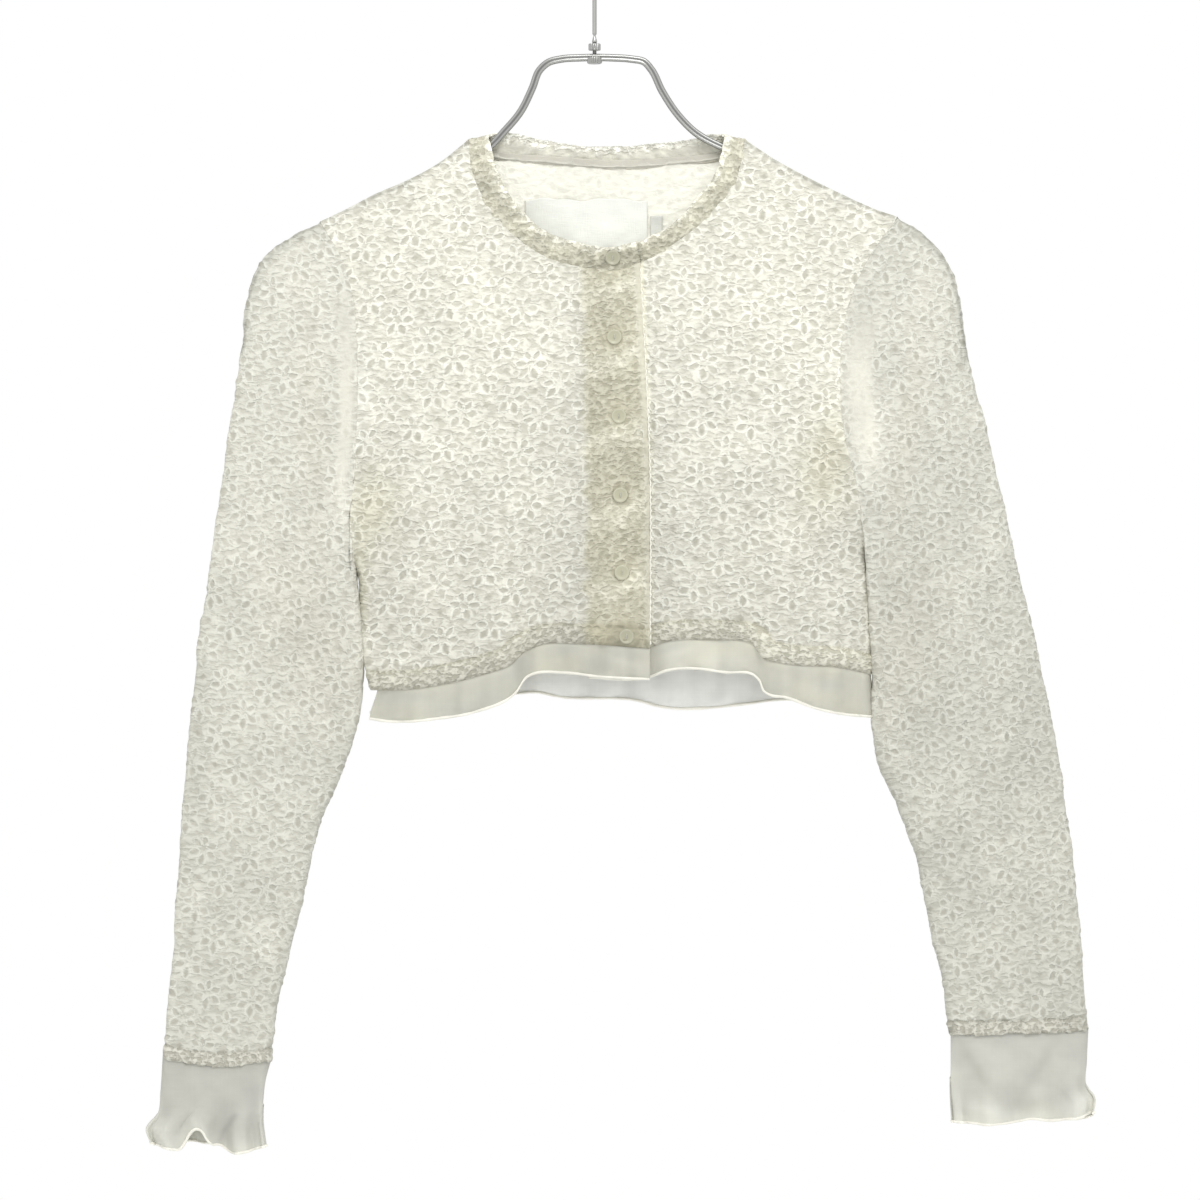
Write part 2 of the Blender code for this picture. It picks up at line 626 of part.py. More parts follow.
def tape_cloth(back, band):
    """A tape that lies inside the back neck, half on the panel and half on the band."""
    count = len(BACK_COLUMNS)
    columns = slice(count - 1 - TAPE_SKIPS, TAPE_SKIPS, -1)
    first = len(FRONT_COLUMNS) - 1
    stations = slice(first + TAPE_SKIPS, first + count - 1 - TAPE_SKIPS)
    seam = back.points[-1, columns]
    below, above = unit(back.points[-2, columns] - seam), unit(band.points[-1, stations] - seam)
    middle = np.stack([seam + TAPE_HALF * below, seam, seam + TAPE_HALF * above])
    normals = np.stack([back.normals[-2, columns], band.normals[0, stations], band.normals[1, stations]])
    return Cloth(middle - (BAND / 2 + SEAM + WOVEN / 2) * normals, -normals)


def between(values, count):
    """Rows of values with count steps put between each two neighbours."""
    places = np.linspace(0, len(values) - 1, (len(values) - 1) * count + 1)
    return np.stack([np.interp(places, np.arange(len(values)), column) for column in values.T], axis=-1)


def frill_cloth(panel, lower, flares, towards):
    """A sheer strip from behind the panel's stitching, made from its points, down to its own rolled edge."""
    hidden = [
        between(panel.points[row] - FRILL_INSET * panel.normals[row], FRILL_STEPS)
        for row in range(HEM_ROWS, -1, -1)
    ]
    hem = hidden[-1]
    swing = np.zeros(len(hem))
    calm = np.ones(len(hem))
    for end, flare in flares:
        near = np.exp(-np.abs(hem[:, 0] - hem[end, 0]) / FLARE_REACH)
        swing += flare * near
        calm *= 1 - near
    foot_x = hem[:, 0] + swing
    foot_z = height_at(lower, foot_x)
    ripple = FRILL_RIPPLE * calm * np.sin(2 * math.pi * foot_x / RIPPLE_LENGTH)
    foot = np.stack([foot_x, hem[:, 1] + ripple, foot_z], axis=-1)
    shown = [hem + (foot - hem) * share for share in np.linspace(0, 1, FRILL_ROWS + 1)[1:]]
    points = np.array((hidden + shown)[::-1])
    normals = skin_normals(points, towards)
    for end, flare in flares:
        normals[:, end] = level_normals(points[:, end], np.array([flare, 0, 0.0]))
    return Cloth(points, normals)


def flat_patch(corners, depth, columns, rows):
    """A flat piece that follows the surface which it is sewn on."""
    low, high = corners
    across = np.linspace(low.x, high.x, columns + 1)
    x, z = np.meshgrid(across, np.linspace(low.z, high.z, rows + 1))
    points = np.stack([x, depth(x, z), z], axis=-1)
    return Cloth(points, skin_normals(points, (0, -1, 0)))


def finish(colour, roughness, metallic=0.0):
    """A material of its own for one piece."""
    material = bpy.data.materials.new("finish")
    material.use_nodes = True
    shader = material.node_tree.nodes["Principled BSDF"]
    shader.inputs["Base Color"].default_value = (*colour, 1)
    shader.inputs["Roughness"].default_value = roughness
    shader.inputs["Metallic"].default_value = metallic
    return material


def add_piece(name, vertices, faces, material):
    """An object from vertices in millimetres, its faces turned outwards."""
    mesh = bpy.data.meshes.new(name)
    mesh.from_pydata((np.asarray(vertices) * MM).tolist(), [], faces)
    shell = bmesh.new()
    shell.from_mesh(mesh)
    bmesh.ops.recalc_face_normals(shell, faces=shell.faces)
    shell.to_mesh(mesh)
    shell.free()
    mesh.shade_smooth()
    mesh.set_sharp_from_angle(angle=math.radians(50))
    mesh.materials.append(material)
    piece = bpy.data.objects.new(name, mesh)
    bpy.context.scene.collection.objects.link(piece)
    return piece


def add_cloth(name, cloth, material, outer, inner, closed=False):
    """A wall of cloth between an outer and an inner skin, its edges closed."""
    rows, columns = cloth.points.shape[:2]
    outer_skin = cloth.points + cloth.normals * np.broadcast_to(outer, (rows, columns))[..., None]
    inner_skin = cloth.points - cloth.normals * np.broadcast_to(inner, (rows, columns))[..., None]
    index = np.arange(rows * columns).reshape(rows, columns)
    if closed:
        index = np.hstack([index, index[:, :1]])
    under = index + rows * columns
    faces = []
    for skin in (index, under[:, ::-1]):
        quads = np.stack([skin[:-1, :-1], skin[:-1, 1:], skin[1:, 1:], skin[1:, :-1]], axis=-1)
        faces += quads.reshape(-1, 4).tolist()
    rims = [(index[0], under[0]), (index[-1], under[-1])]
    if not closed:
        rims += [(index[:, 0], under[:, 0]), (index[:, -1], under[:, -1])]
    for near, far in rims:
        faces += np.stack([near[:-1], near[1:], far[1:], far[:-1]], axis=-1).tolist()
    vertices = np.concatenate([outer_skin.reshape(-1, 3), inner_skin.reshape(-1, 3)])
    return add_piece(name, vertices, faces, material)


def add_turned(name, profile, sides, material, place):
    """A piece turned about its own upright axis, from a profile of (radius, height) from foot to top."""
    turn = np.linspace(0, 2 * math.pi, sides, endpoint=False)
    circle = np.stack([np.cos(turn), np.sin(turn), np.zeros(sides)], axis=-1)
    rings = [radius * circle + (0, 0, height) for radius, height in profile]
    faces = [list(range(sides)), list(range((len(profile) - 1) * sides, len(profile) * sides))]
    for ring in range(len(profile) - 1):
        for side in range(sides):
            a, b = ring * sides + side, ring * sides + (side + 1) % sides
            faces.append([a, b, b + sides, a + sides])
    piece = add_piece(name, np.concatenate(rings), faces, material)
    piece.location = [value * MM for value in place]
    return piece


def add_swept(name, path, profile, material):
    """A bar whose profile, across and deep, is carried along a path in the middle plane."""
    path = np.asarray(path, float)
    run = unit(np.gradient(path, axis=0))
    across = np.stack([-run[:, 1], run[:, 0]], axis=-1)
    profile = np.asarray(profile, float)
    x = path[:, None, 0] + across[:, None, 0] * profile[None, :, 0]
    z = path[:, None, 1] + across[:, None, 1] * profile[None, :, 0]
    y = np.broadcast_to(profile[None, :, 1], x.shape)
    sides = len(profile)
    faces = [list(range(sides)), list(range((len(path) - 1) * sides, len(path) * sides))]
    for step in range(len(path) - 1):
        for side in range(sides):
            a, b = step * sides + side, step * sides + (side + 1) % sides
            faces.append([a, b, b + sides, a + sides])
    return add_piece(name, np.stack([x, y, z], axis=-1).reshape(-1, 3), faces, material)


def round_profile(radius, sides):
    """A round cut."""
    turn = np.linspace(0, 2 * math.pi, sides, endpoint=False)
    return np.stack([radius * np.cos(turn), radius * np.sin(turn)], axis=-1)


def grooved_profile():
    """The bar's cut: two ridges side by side, with a groove between them at the front and the back."""
    turn = 2 * math.pi * (np.arange(BAR_SIDES) + 0.5 * (BAR_SIDES // 2 % 2)) / BAR_SIDES
    deep = BAR_DEEP * np.sin(turn)
    deep[np.abs(np.cos(turn)) < 0.1] *= 1 - BAR_GROOVE / BAR_DEEP
    return np.stack([BAR_WIDE * np.cos(turn), deep], axis=-1)


def hidden_bar(shoulder, sections):
    """The bar's path under the cloth, from its end in the sleeve to near the neck."""
    over = [Point(row.over_x, row.over_z) for row in sections if row.over_z > BAR_ENDS_Z - BAR_LINE_BELOW]
    line = smooth_line(list(shoulder[1:]) + over[1:], np.linspace(0, 1, 40))
    line = line[line[:, 1] > BAR_ENDS_Z]
    run = unit(np.gradient(line, axis=0))
    square = np.stack([run[:, 1], -run[:, 0]], axis=-1)
    square *= -np.sign(square[:, 1:])
    drop = np.linspace(BAR_UNDER_SHOULDER, BAR_UNDER_SLEEVE, len(line))[:, None]
    return (line + drop * square)[::-3]


def bar_path():
    """The bar's middle line from end to end, over the arch below the hook."""
    right = hidden_bar(SHOULDER_RIGHT, SLEEVE_RIGHT)
    left = hidden_bar(SHOULDER_LEFT, SLEEVE_LEFT)[::-1]
    points = np.concatenate([right, BAR_OVER_RIGHT, BAR_OVER_LEFT, left])
    return smooth_line(points, np.linspace(0, 1, BAR_STEPS))


def hook_path():
    """Up the stem, out to the side and over the top in an arc to the tip."""
    centre = HOOK_WIRE - HOOK_RADIUS
    turn = np.radians(np.linspace(HOOK_FROM_DEGREES, HOOK_TIP_DEGREES, HOOK_ARC_STEPS + 1))
    arc = np.stack([HOOK_RADIUS * np.cos(turn), centre + HOOK_RADIUS * np.sin(turn)], axis=-1)
    rise = smooth_line(HOOK_STEM + [arc[0]], np.linspace(0, 1, HOOK_RISE_STEPS + 1))
    return joined([(0, HOOK_STEM_FOOT), (0, HOOK_STEM_TOP)], rise, arc)


def build_body():
    """The two fronts and the back, with their turned edges."""
    right = front_panel(
        HEM_RIGHT, EDGE_RIGHT, NECK_RIGHT, SHOULDER_RIGHT, SIDE_RIGHT, ARMHOLE_RIGHT, front_y, -RIGHTWARD
    )
    left = front_panel(
        HEM_LEFT, EDGE_LEFT, NECK_LEFT, SHOULDER_LEFT, SIDE_LEFT, ARMHOLE_LEFT, lapped_y, RIGHTWARD
    )
    back = back_panel()
    for name, cloth in (("front_right", right), ("front_left", left), ("back", back)):
        inner = np.full(cloth.points.shape[:2], CLOTH / 2)
        inner[: HEM_ROWS + 1] = TURNED - CLOTH / 2
        if name != "back":
            inner[:, :TURNED_COLUMNS] = TURNED - CLOTH / 2
        add_cloth(name, cloth, finish(*BODY_CLOTH), CLOTH / 2, inner)
    return right, left, back


def build_sleeves(right, left, back):
    """Both sleeves, sewn on round the armholes."""
    plans = (
        ("sleeve_right", right, 0, SHOULDER_RIGHT, SLEEVE_RIGHT, SLEEVE_FOLDS_RIGHT, SEAM_DROP_RIGHT),
        ("sleeve_left", left, -1, SHOULDER_LEFT, SLEEVE_LEFT, SLEEVE_FOLDS_LEFT, SEAM_DROP_LEFT),
    )
    sleeves = []
    for name, front, column, shoulder, sections, folds, drop in plans:
        run = np.array([shoulder[-1].x - shoulder[-2].x, 0, shoulder[-1].z - shoulder[-2].z])
        ring, normals = armhole_ring(front, back, column, unit(run))
        cloth = sleeve_cloth(sections, folds, ring, normals, drop)
        add_cloth(name, cloth, finish(*SLEEVE_CLOTH), CLOTH / 2, CLOTH / 2, closed=True)
        sleeves.append(cloth)
    return sleeves


def build_trims(right, left, back):
    """The neckband, the tape inside it, the label and the size tab."""
    band = band_cloth(right, left, back)
    add_cloth("neckband", band, finish(*BAND_CLOTH), BAND / 2, BAND / 2)
    tape = tape_cloth(back, band)
    add_cloth("neck_tape", tape, finish(*TAPE_CLOTH), WOVEN / 2, WOVEN / 2)

    def on_back(x, z):
        return back_y(x, z) - CLOTH / 2 - SEAM - WOVEN / 2

    for name, corners, columns, rows in (("label", LABEL_CORNERS, 6, 3), ("size_tab", TAB_CORNERS, 1, 2)):
        patch = flat_patch(corners, on_back, columns, rows)
        add_cloth(name, patch, finish(*LABEL_CLOTH), WOVEN / 2, WOVEN / 2)


def build_frills(right, left, back):
    """The sheer frill below the hem."""
    plans = (
        ("frill_front_right", right, FRILL_RIGHT, [(-1, FLARE_RIGHT)], (0, -1, 0)),
        ("frill_front_left", left, FRILL_LEFT, [(-1, FLARE_LEFT)], (0, -1, 0)),
        ("frill_back", back, FRILL_BACK, [(0, FLARE_RIGHT), (-1, FLARE_LEFT)], (0, 1, 0)),
    )
    for name, panel, lower, flares, towards in plans:
        cloth = frill_cloth(panel, lower, flares, towards)
        add_cloth(name, cloth, finish(*SHEER_CLOTH), SHEER / 2, SHEER / 2)


def build_cuffs(sleeves):
    """The sheer cuffs below the sleeves."""
    plans = (
        ("cuff_right", CUFF_OUTER_RIGHT, CUFF_INNER_RIGHT, CUFF_RIM_RIGHT, 0.6),
        ("cuff_left", CUFF_OUTER_LEFT, CUFF_INNER_LEFT, CUFF_RIM_LEFT, 2.1),
    )
    for sleeve, (name, outer, inner, rim, phase) in zip(sleeves, plans):
        cloth = cuff_cloth(sleeve, outer, inner, rim, phase)
        add_cloth(name, cloth, finish(*SHEER_CLOTH), SHEER / 2, SHEER / 2, closed=True)


def build_buttons():
    """The six buttons, flat on the right front and the neckband."""
    reach = np.linspace(-BUTTON_RADIUS, BUTTON_RADIUS, 9)
    for number, place in enumerate(BUTTON_PLACES, start=1):
        wall = BAND / 2 if number == 1 else CLOTH / 2
        x, z = np.meshgrid(place.x + reach, place.z + reach)
        face = (place.x, front_y(x, z).min() - wall - SEAM, place.z)
        button = add_turned(f"button_{number}", BUTTON_PROFILE, BUTTON_SIDES, finish(*BUTTON_RESIN), face)
        button.rotation_euler = (math.radians(90), 0, 0)


def build_hanger():
    """The bar with its wire hook, nut and clip."""
    add_swept("hanger_bar", bar_path(), grooved_profile(), finish(*STEEL, metallic=1))
    add_swept("hanger_hook", hook_path(), round_profile(HOOK_WIRE, HOOK_SIDES), finish(*STEEL, metallic=1))
    add_turned("hanger_nut", NUT_PROFILE, TURNED_SIDES, finish(*STEEL, metallic=1), (0, 0, NUT_FOOT))
    add_turned("hanger_clip", CLIP_PROFILE, TURNED_SIDES, finish(*STEEL, metallic=1), (0, 0, CLIP_FOOT))


def main():
    clear_scene()
    right, left, back = build_body()
    sleeves = build_sleeves(right, left, back)
    build_trims(right, left, back)
    build_frills(right, left, back)
    build_cuffs(sleeves)
    build_buttons()
    build_hanger()


main()
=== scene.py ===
"""Looks of a cropped cardigan of sheer flower cloque, buttoned up on a steel hanger.

Sizes in the classes are in millimetres, seen from the front: x to the viewer's right, z up from the
inside of the hook's top and y away from the viewer. Sides are the wearer's, so the right front lies
at -x. Meshes are in metres.
"""

from __future__ import annotations

import logging
import math
import sys
from dataclasses import dataclass, field, replace
from enum import Enum
from typing import Any, Callable, NamedTuple, Sequence

import bpy
import numpy as np
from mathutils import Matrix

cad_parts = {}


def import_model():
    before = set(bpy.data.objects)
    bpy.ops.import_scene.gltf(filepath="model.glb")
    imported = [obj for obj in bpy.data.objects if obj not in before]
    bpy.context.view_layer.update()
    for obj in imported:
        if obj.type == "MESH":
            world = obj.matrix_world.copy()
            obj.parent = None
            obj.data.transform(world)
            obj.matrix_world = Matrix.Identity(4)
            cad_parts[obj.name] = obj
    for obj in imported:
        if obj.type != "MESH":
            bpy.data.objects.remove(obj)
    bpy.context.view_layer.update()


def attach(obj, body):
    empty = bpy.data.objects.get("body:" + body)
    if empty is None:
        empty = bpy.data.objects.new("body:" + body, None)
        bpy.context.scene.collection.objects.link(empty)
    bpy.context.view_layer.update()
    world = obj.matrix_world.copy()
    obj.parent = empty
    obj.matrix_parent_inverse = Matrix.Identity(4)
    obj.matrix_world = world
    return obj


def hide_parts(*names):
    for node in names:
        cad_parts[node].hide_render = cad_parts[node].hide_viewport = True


Array = np.ndarray
Line = Sequence[tuple[float, float]]

log = logging.getLogger("cardigan")

# Millimetres in metres, the gap between pieces that meet, and the map and attribute that finishes read.
MM = 0.001
SEAM = 0.3
CLOTH_MAP = "cloth"
TONE = "tone"

# Thickness of woven cloth and of chiffon, how far relief may stand off the cloth, how much lighter a
# millimetre of it is painted (painted light on raised cloth, painted shade in its hollows), and how much
# darker the painted shadow of the hanger's bar makes the cloth over it.
THIN = 0.3
CHIFFON_THICK = 0.5
RELIEF_LIMITS = (-0.7, 2.2)
RELIEF_LIGHT = 0.05
BAR_DARK = 0.28


class Slot(Enum):
    """Names for the kinds of material that the pieces are made of."""

    CLOQUE = "cloque"
    CHIFFON = "chiffon"
    WOVEN = "woven"
    BUTTON = "button"
    STEEL = "steel"


class Side(Enum):
    """The wearer's sides, with the sign of their x."""

    RIGHT = -1
    LEFT = 1

    @property
    def word(self) -> str:
        """The side as it stands in the nodes' names."""
        return self.name.lower()


def by_side(right: Any, left: Any) -> Any:
    """A class field that holds a value for each of the wearer's sides."""
    return field(default_factory=lambda: {Side.RIGHT: right, Side.LEFT: left})


class Fold(NamedTuple):
    """A soft ridge along a straight line, or a hollow where its height is negative."""

    from_x: float
    from_z: float
    to_x: float
    to_z: float
    width: float
    height: float


class Patch(NamedTuple):
    """A soft spot where the cloth is painted lighter or darker, mostly as painted light and shade on its folds and
    hollows, and warmer where layers lie together.
    """

    x: float
    z: float
    reach_x: float
    reach_z: float
    turn: float
    light: float
    warm: float


class Repeat(NamedTuple):
    """How the flowers repeat on a panel.

    It has the step to the next one in a row, the step down, one flower's place and how many steps to the
    right the panel is cut from the cloth.
    """

    right: tuple[float, float]
    down: tuple[float, float]
    flower: tuple[float, float]
    shift: int = 0


class Rim(NamedTuple):
    """A place on a cuff's lower edge: its share of the way across, and how far it hangs below the row."""

    share: float
    front: float
    back: float


# Lines and surfaces


def lengths(line: Array | Line) -> Array:
    """How far along a line each of its points lies."""
    return np.r_[0, np.cumsum(np.linalg.norm(np.diff(np.asarray(line, float), axis=0), axis=1))]


def smooth_line(points: Array | Line, shares: Array) -> Array:
    """Places on a smooth line through points.

    Each stretch is a cubic whose slopes at its ends are the central differences at the points.

    Args:
        points: The points that the line passes through, one a row.
        shares: Where to read it, as shares of its length from 0 to 1.

    Returns:
        One place for each share.
    """
    points = np.asarray(points, float)
    knots = lengths(points)
    slopes = np.gradient(points, knots, axis=0)
    at = np.clip(np.asarray(shares, float), 0, 1) * knots[-1]
    piece = np.clip(np.searchsorted(knots, at, side="right") - 1, 0, len(points) - 2)
    span = (knots[piece + 1] - knots[piece])[:, None]
    s = (at - knots[piece])[:, None] / span
    start, end = points[piece], points[piece + 1]
    bend = s * (1 - s)
    return (
        start * (1 + 2 * s) * (1 - s) ** 2
        + end * (3 - 2 * s) * s**2
        + span * bend * (slopes[piece] * (1 - s) - slopes[piece + 1] * s)
    )


def height_at(line: Line, x: Array) -> Array:
    """The z of an outline, given from side to side, at each x."""
    table = smooth_line(line, np.linspace(0, 1, 400))
    order = np.argsort(table[:, 0])
    return np.interp(x, table[order, 0], table[order, 1])


def distance_to(line: Array | Line, x: Array, z: Array) -> Array:
    """The distance from each place to the nearest point of a line of straight stretches."""
    line = np.asarray(line, float)
    nearest = np.full(np.shape(x), np.inf)
    for (x0, z0), (x1, z1) in zip(line[:-1], line[1:]):
        run, rise = x1 - x0, z1 - z0
        share = np.clip(((x - x0) * run + (z - z0) * rise) / (run * run + rise * rise), 0, 1)
        nearest = np.minimum(nearest, np.hypot(x - x0 - share * run, z - z0 - share * rise))
    return nearest


def off_line(line: Line, x: Array, z: Array, count: int = 40) -> Array:
    """The distance from each place to the smooth line through points."""
    return distance_to(smooth_line(line, np.linspace(0, 1, count)), x, z)


def along(start: Array | float, end: Array | float, share: Array | float) -> Array:
    """The value at this share of the way from one value to another."""
    return start + (end - start) * share


def soft_step(value: Array) -> Array:
    """A step from 0 to 1 with soft ends: 3v^2 - 2v^3."""
    value = np.clip(value, 0, 1)
    return value * value * (3 - 2 * value)


def ramp(value: Array, start: Array | float, span: float) -> Array:
    """A soft step from 0 at a start to 1 at one span beyond it."""
    return soft_step((value - start) / span)


def bell(away: Array, reach: Array | float) -> Array:
    """A soft bump: exp(-(away / reach)^2)."""
    return np.exp(-((away / reach) ** 2))


def spot(a: Array, b: Array, reach_a: float, reach_b: float) -> Array:
    """A soft bump two ways: exp(-(a / reach_a)^2 - (b / reach_b)^2)."""
    return np.exp(-((a / reach_a) ** 2) - (b / reach_b) ** 2)


def stacked(*parts: Array | float) -> Array:
    """Values of the same grid side by side, such as its x, y and z."""
    return np.stack(np.broadcast_arrays(*parts), axis=-1)


def full_turn(count: int) -> Array:
    """Angles all the way round, from 0."""
    return np.arange(count) * 2 * math.pi / count


def folds_at(folds: Sequence[Fold], x: Array, z: Array) -> Array:
    """How far a list of folds moves the cloth out: each is height * exp(-(distance / width)^2)."""
    total = np.zeros(np.shape(x))
    for fold in folds:
        line = [(fold.from_x, fold.from_z), (fold.to_x, fold.to_z)]
        total += fold.height * bell(distance_to(line, x, z), fold.width)
    return total


def off_fold(distance: Array, radius: float, full: Array, reach: float) -> Array:
    """The cloth's distance from the middle plane: a quarter circle round a fold, then slowly to its full depth."""
    rounded = radius * np.sqrt(1 - np.clip(1 - distance / radius, 0, 1) ** 2)
    slack = 1 - np.exp(-np.clip(distance - radius, 0, None) / reach)
    return rounded + (full - radius) * slack


def lesser(a: Array, b: Array) -> Array:
    """The smaller of two depths, rounded where they meet: ab / (a^4 + b^4)^(1/4)."""
    return a * b / np.maximum(a**4 + b**4, 1e-9) ** 0.25


def joined(*lines: Array) -> Array:
    """Lines of points end to end, each shared end once."""
    return np.concatenate([lines[0]] + [line[1:] for line in lines[1:]])


def unit(vectors: Array) -> Array:
    """The same directions with a length of one."""
    return vectors / np.maximum(np.linalg.norm(vectors, axis=-1, keepdims=True), 1e-9)


def close_shares(count: int, ends: Sequence[float], near: float = 0.03, least: float = 0.25) -> Array:
    """Shares from 0 to 1 that lie closer together near the given ends.

    Args:
        count: How many shares.
        ends: The shares near which they lie closer.
        near: How far from such an end that reaches.
        least: The spacing at such an end, beside the spacing elsewhere.

    Returns:
        The shares, rising from 0 to 1.
    """
    middle = (np.arange(count - 1) + 0.5) / (count - 1)
    spacing = np.ones(count - 1)
    for end in ends:
        spacing *= 1 - (1 - least) * bell(middle - end, near)
    return np.r_[0, np.cumsum(spacing)] / spacing.sum()


def value_noise(x: Array, y: Array, seed: float = 0.0) -> Array:
    """Smooth noise from 0 to 1: a fixed value at each corner of a square lattice, blended by soft steps."""

    def corner(i: Array, j: Array) -> Array:
        value = np.sin(i * 127.1 + j * 311.7 + seed * 74.7) * 43758.5453
        return value - np.floor(value)

    i, j = np.floor(x), np.floor(y)
    a, b = soft_step(x - i), soft_step(y - j)
    low = along(corner(i, j), corner(i + 1, j), a)
    high = along(corner(i, j + 1), corner(i + 1, j + 1), a)
    return along(low, high, b)


def noise_along(x: Array, seed: float) -> Array:
    """Smooth noise from 0 to 1 along a line."""
    return value_noise(x, np.zeros(np.shape(x)), seed)


def skin_normals(points: Array, towards: Sequence[float] | None, closed: bool = False) -> Array:
    """The directions out of a grid.

    Args:
        points: Rows and columns of places.
        towards: The side to face, or None to face away from each row's own middle.
        closed: Whether the last column joins the first.

    Returns:
        A direction for each place.
    """
    if closed:
        across = np.roll(points, -1, axis=1) - np.roll(points, 1, axis=1)
    else:
        across = np.gradient(points, axis=1)
    normals = unit(np.cross(across, np.gradient(points, axis=0)))
    outward = points - points.mean(axis=1, keepdims=True) if towards is None else np.asarray(towards, float)
    return normals if (normals * outward).sum() > 0 else -normals


def level_normals(line: Array, towards: Sequence[float]) -> Array:
    """Directions in the middle plane, square to a seam that runs along a fold."""
    run = np.gradient(line, axis=0)
    square = unit(stacked(-run[:, 2], np.zeros(len(line)), run[:, 0]))
    return np.where(((square * towards).sum(axis=-1) > 0)[:, None], square, -square)


@dataclass
class Cloth:
    """The middle surface of a piece of cloth as a grid, rows up, with what is needed to dress it."""

    points: Array
    normals: Array
    tone: Array
    uv: Array
    closed: bool = False
    inner_tone: Array | None = None

    def area(self) -> float:
        """The middle surface's area in square metres: half the cross product of each cell's diagonals."""
        grid = np.concatenate([self.points, self.points[:, :1]], axis=1) if self.closed else self.points
        cross = np.cross(grid[1:, 1:] - grid[:-1, :-1], grid[:-1, 1:] - grid[1:, :-1])
        return float(np.linalg.norm(cross, axis=-1).sum() / 2 * MM * MM)

    def moved(self, out: Array) -> "Cloth":
        """The same cloth with each point moved out by this much."""
        return replace(self, points=self.points + self.normals * out[..., None])


def edge_shares(rows: int, columns: int) -> tuple[Array, Array]:
    """How far up and across each place of a grid lies, as two grids of shares."""
    return np.meshgrid(np.linspace(0, 1, rows), np.linspace(0, 1, columns), indexing="ij")


# Meshes


def quads(grid: Array) -> Array:
    """The faces between neighbours of a grid of vertex numbers."""
    faces = np.stack([grid[:-1, :-1], grid[:-1, 1:], grid[1:, 1:], grid[1:, :-1]], axis=-1)
    return faces.reshape(-1, 4)


def rim_faces(fine: Array, coarse: Array, step: int, flip: bool) -> Array:
    """Faces between an outer skin's edge and an inner skin's edge that has one point for each step points."""
    count = len(coarse) - 1
    outer = np.stack([fine[k : k + count * step : step] for k in range(step)] + [fine[step::step]], axis=-1)
    faces = np.concatenate([outer, coarse[1:, None], coarse[:-1, None]], axis=-1)
    return faces[:, ::-1] if flip else faces


def shell_mesh(name: str, cloth: Cloth, thick: Array | float, step: int) -> bpy.types.Mesh:
    """A thin closed shell from a grid.

    The outer skin is the grid, and the inner skin is every step-th point of it moved in by the thickness.

    Args:
        name: The mesh's name.
        cloth: The outer skin. Its rows and columns are a multiple of step, plus one where it is open.
        thick: The shell's thickness, for the whole of it or for each place.
        step: How many outer cells one inner cell covers each way.

    Returns:
        The mesh, with the cloth's UV map and its tone attribute.
    """
    rows, columns = cloth.points.shape[:2]
    index = np.arange(rows * columns).reshape(rows, columns)
    walls = np.broadcast_to(thick, (rows, columns))[..., None]
    coarse_points = (cloth.points - cloth.normals * walls)[::step, ::step]
    under = np.arange(coarse_points[..., 0].size).reshape(coarse_points.shape[:2]) + rows * columns
    if cloth.closed:
        index = np.hstack([index, index[:, :1]])
        under = np.hstack([under, under[:, :1]])
    faces = [quads(index), quads(under)[:, ::-1]]
    faces.append(rim_faces(index[0], under[0], step, True))
    faces.append(rim_faces(index[-1], under[-1], step, False))
    if not cloth.closed:
        faces.append(rim_faces(index[:, 0], under[:, 0], step, False))
        faces.append(rim_faces(index[:, -1], under[:, -1], step, True))
    sample = cloth.points[1, 1] - cloth.points[0, 0], cloth.points[1, 0] - cloth.points[0, 1]
    flip = np.cross(sample[0], sample[1]) @ cloth.normals[0, 0] < 0
    if flip:
        faces = [block[:, ::-1] for block in faces]
    vertices = np.concatenate([cloth.points.reshape(-1, 3), coarse_points.reshape(-1, 3)]) * MM
    uv = np.concatenate([cloth.uv.reshape(-1, 2), cloth.uv[::step, ::step].reshape(-1, 2)]) * MM
    within = cloth.tone if cloth.inner_tone is None else cloth.inner_tone
    tone = np.concatenate([cloth.tone.reshape(-1, 3), within[::step, ::step].reshape(-1, 3)])
    return mesh_of(name, vertices, faces, uv, tone)


def mesh_of(name: str, vertices: Array, blocks: Sequence[Array], uv: Array, tone: Array) -> bpy.types.Mesh:
    """A smooth mesh from arrays.

    Args:
        name: The mesh's name.
        vertices: Places in metres.
        blocks: Arrays of faces; each array's faces have one number of corners.
        uv: A map place for each vertex.
        tone: Light, warmth and pattern strength for each vertex.

    Returns:
        The mesh.
    """
    mesh = bpy.data.meshes.new(name)
    corners = np.concatenate([block.reshape(-1) for block in blocks]).astype(np.int32)
    sizes = np.concatenate([np.full(len(block), block.shape[1]) for block in blocks])
    mesh.vertices.add(len(vertices))
    mesh.vertices.foreach_set("co", vertices.astype(np.float32).ravel())
    mesh.loops.add(len(corners))
    mesh.loops.foreach_set("vertex_index", corners)
    mesh.polygons.add(len(sizes))
    mesh.polygons.foreach_set("loop_start", np.r_[0, np.cumsum(sizes)[:-1]].astype(np.int32))
    mesh.update(calc_edges=True)
    layer = mesh.uv_layers.new(name=CLOTH_MAP)
    layer.data.foreach_set("uv", uv[corners].astype(np.float32).ravel())
    shade = mesh.color_attributes.new(name=TONE, type="FLOAT_COLOR", domain="POINT")
    shade.data.foreach_set("color", np.hstack([tone, np.ones((len(tone), 1))]).astype(np.float32).ravel())
    mesh.shade_smooth()
    return mesh


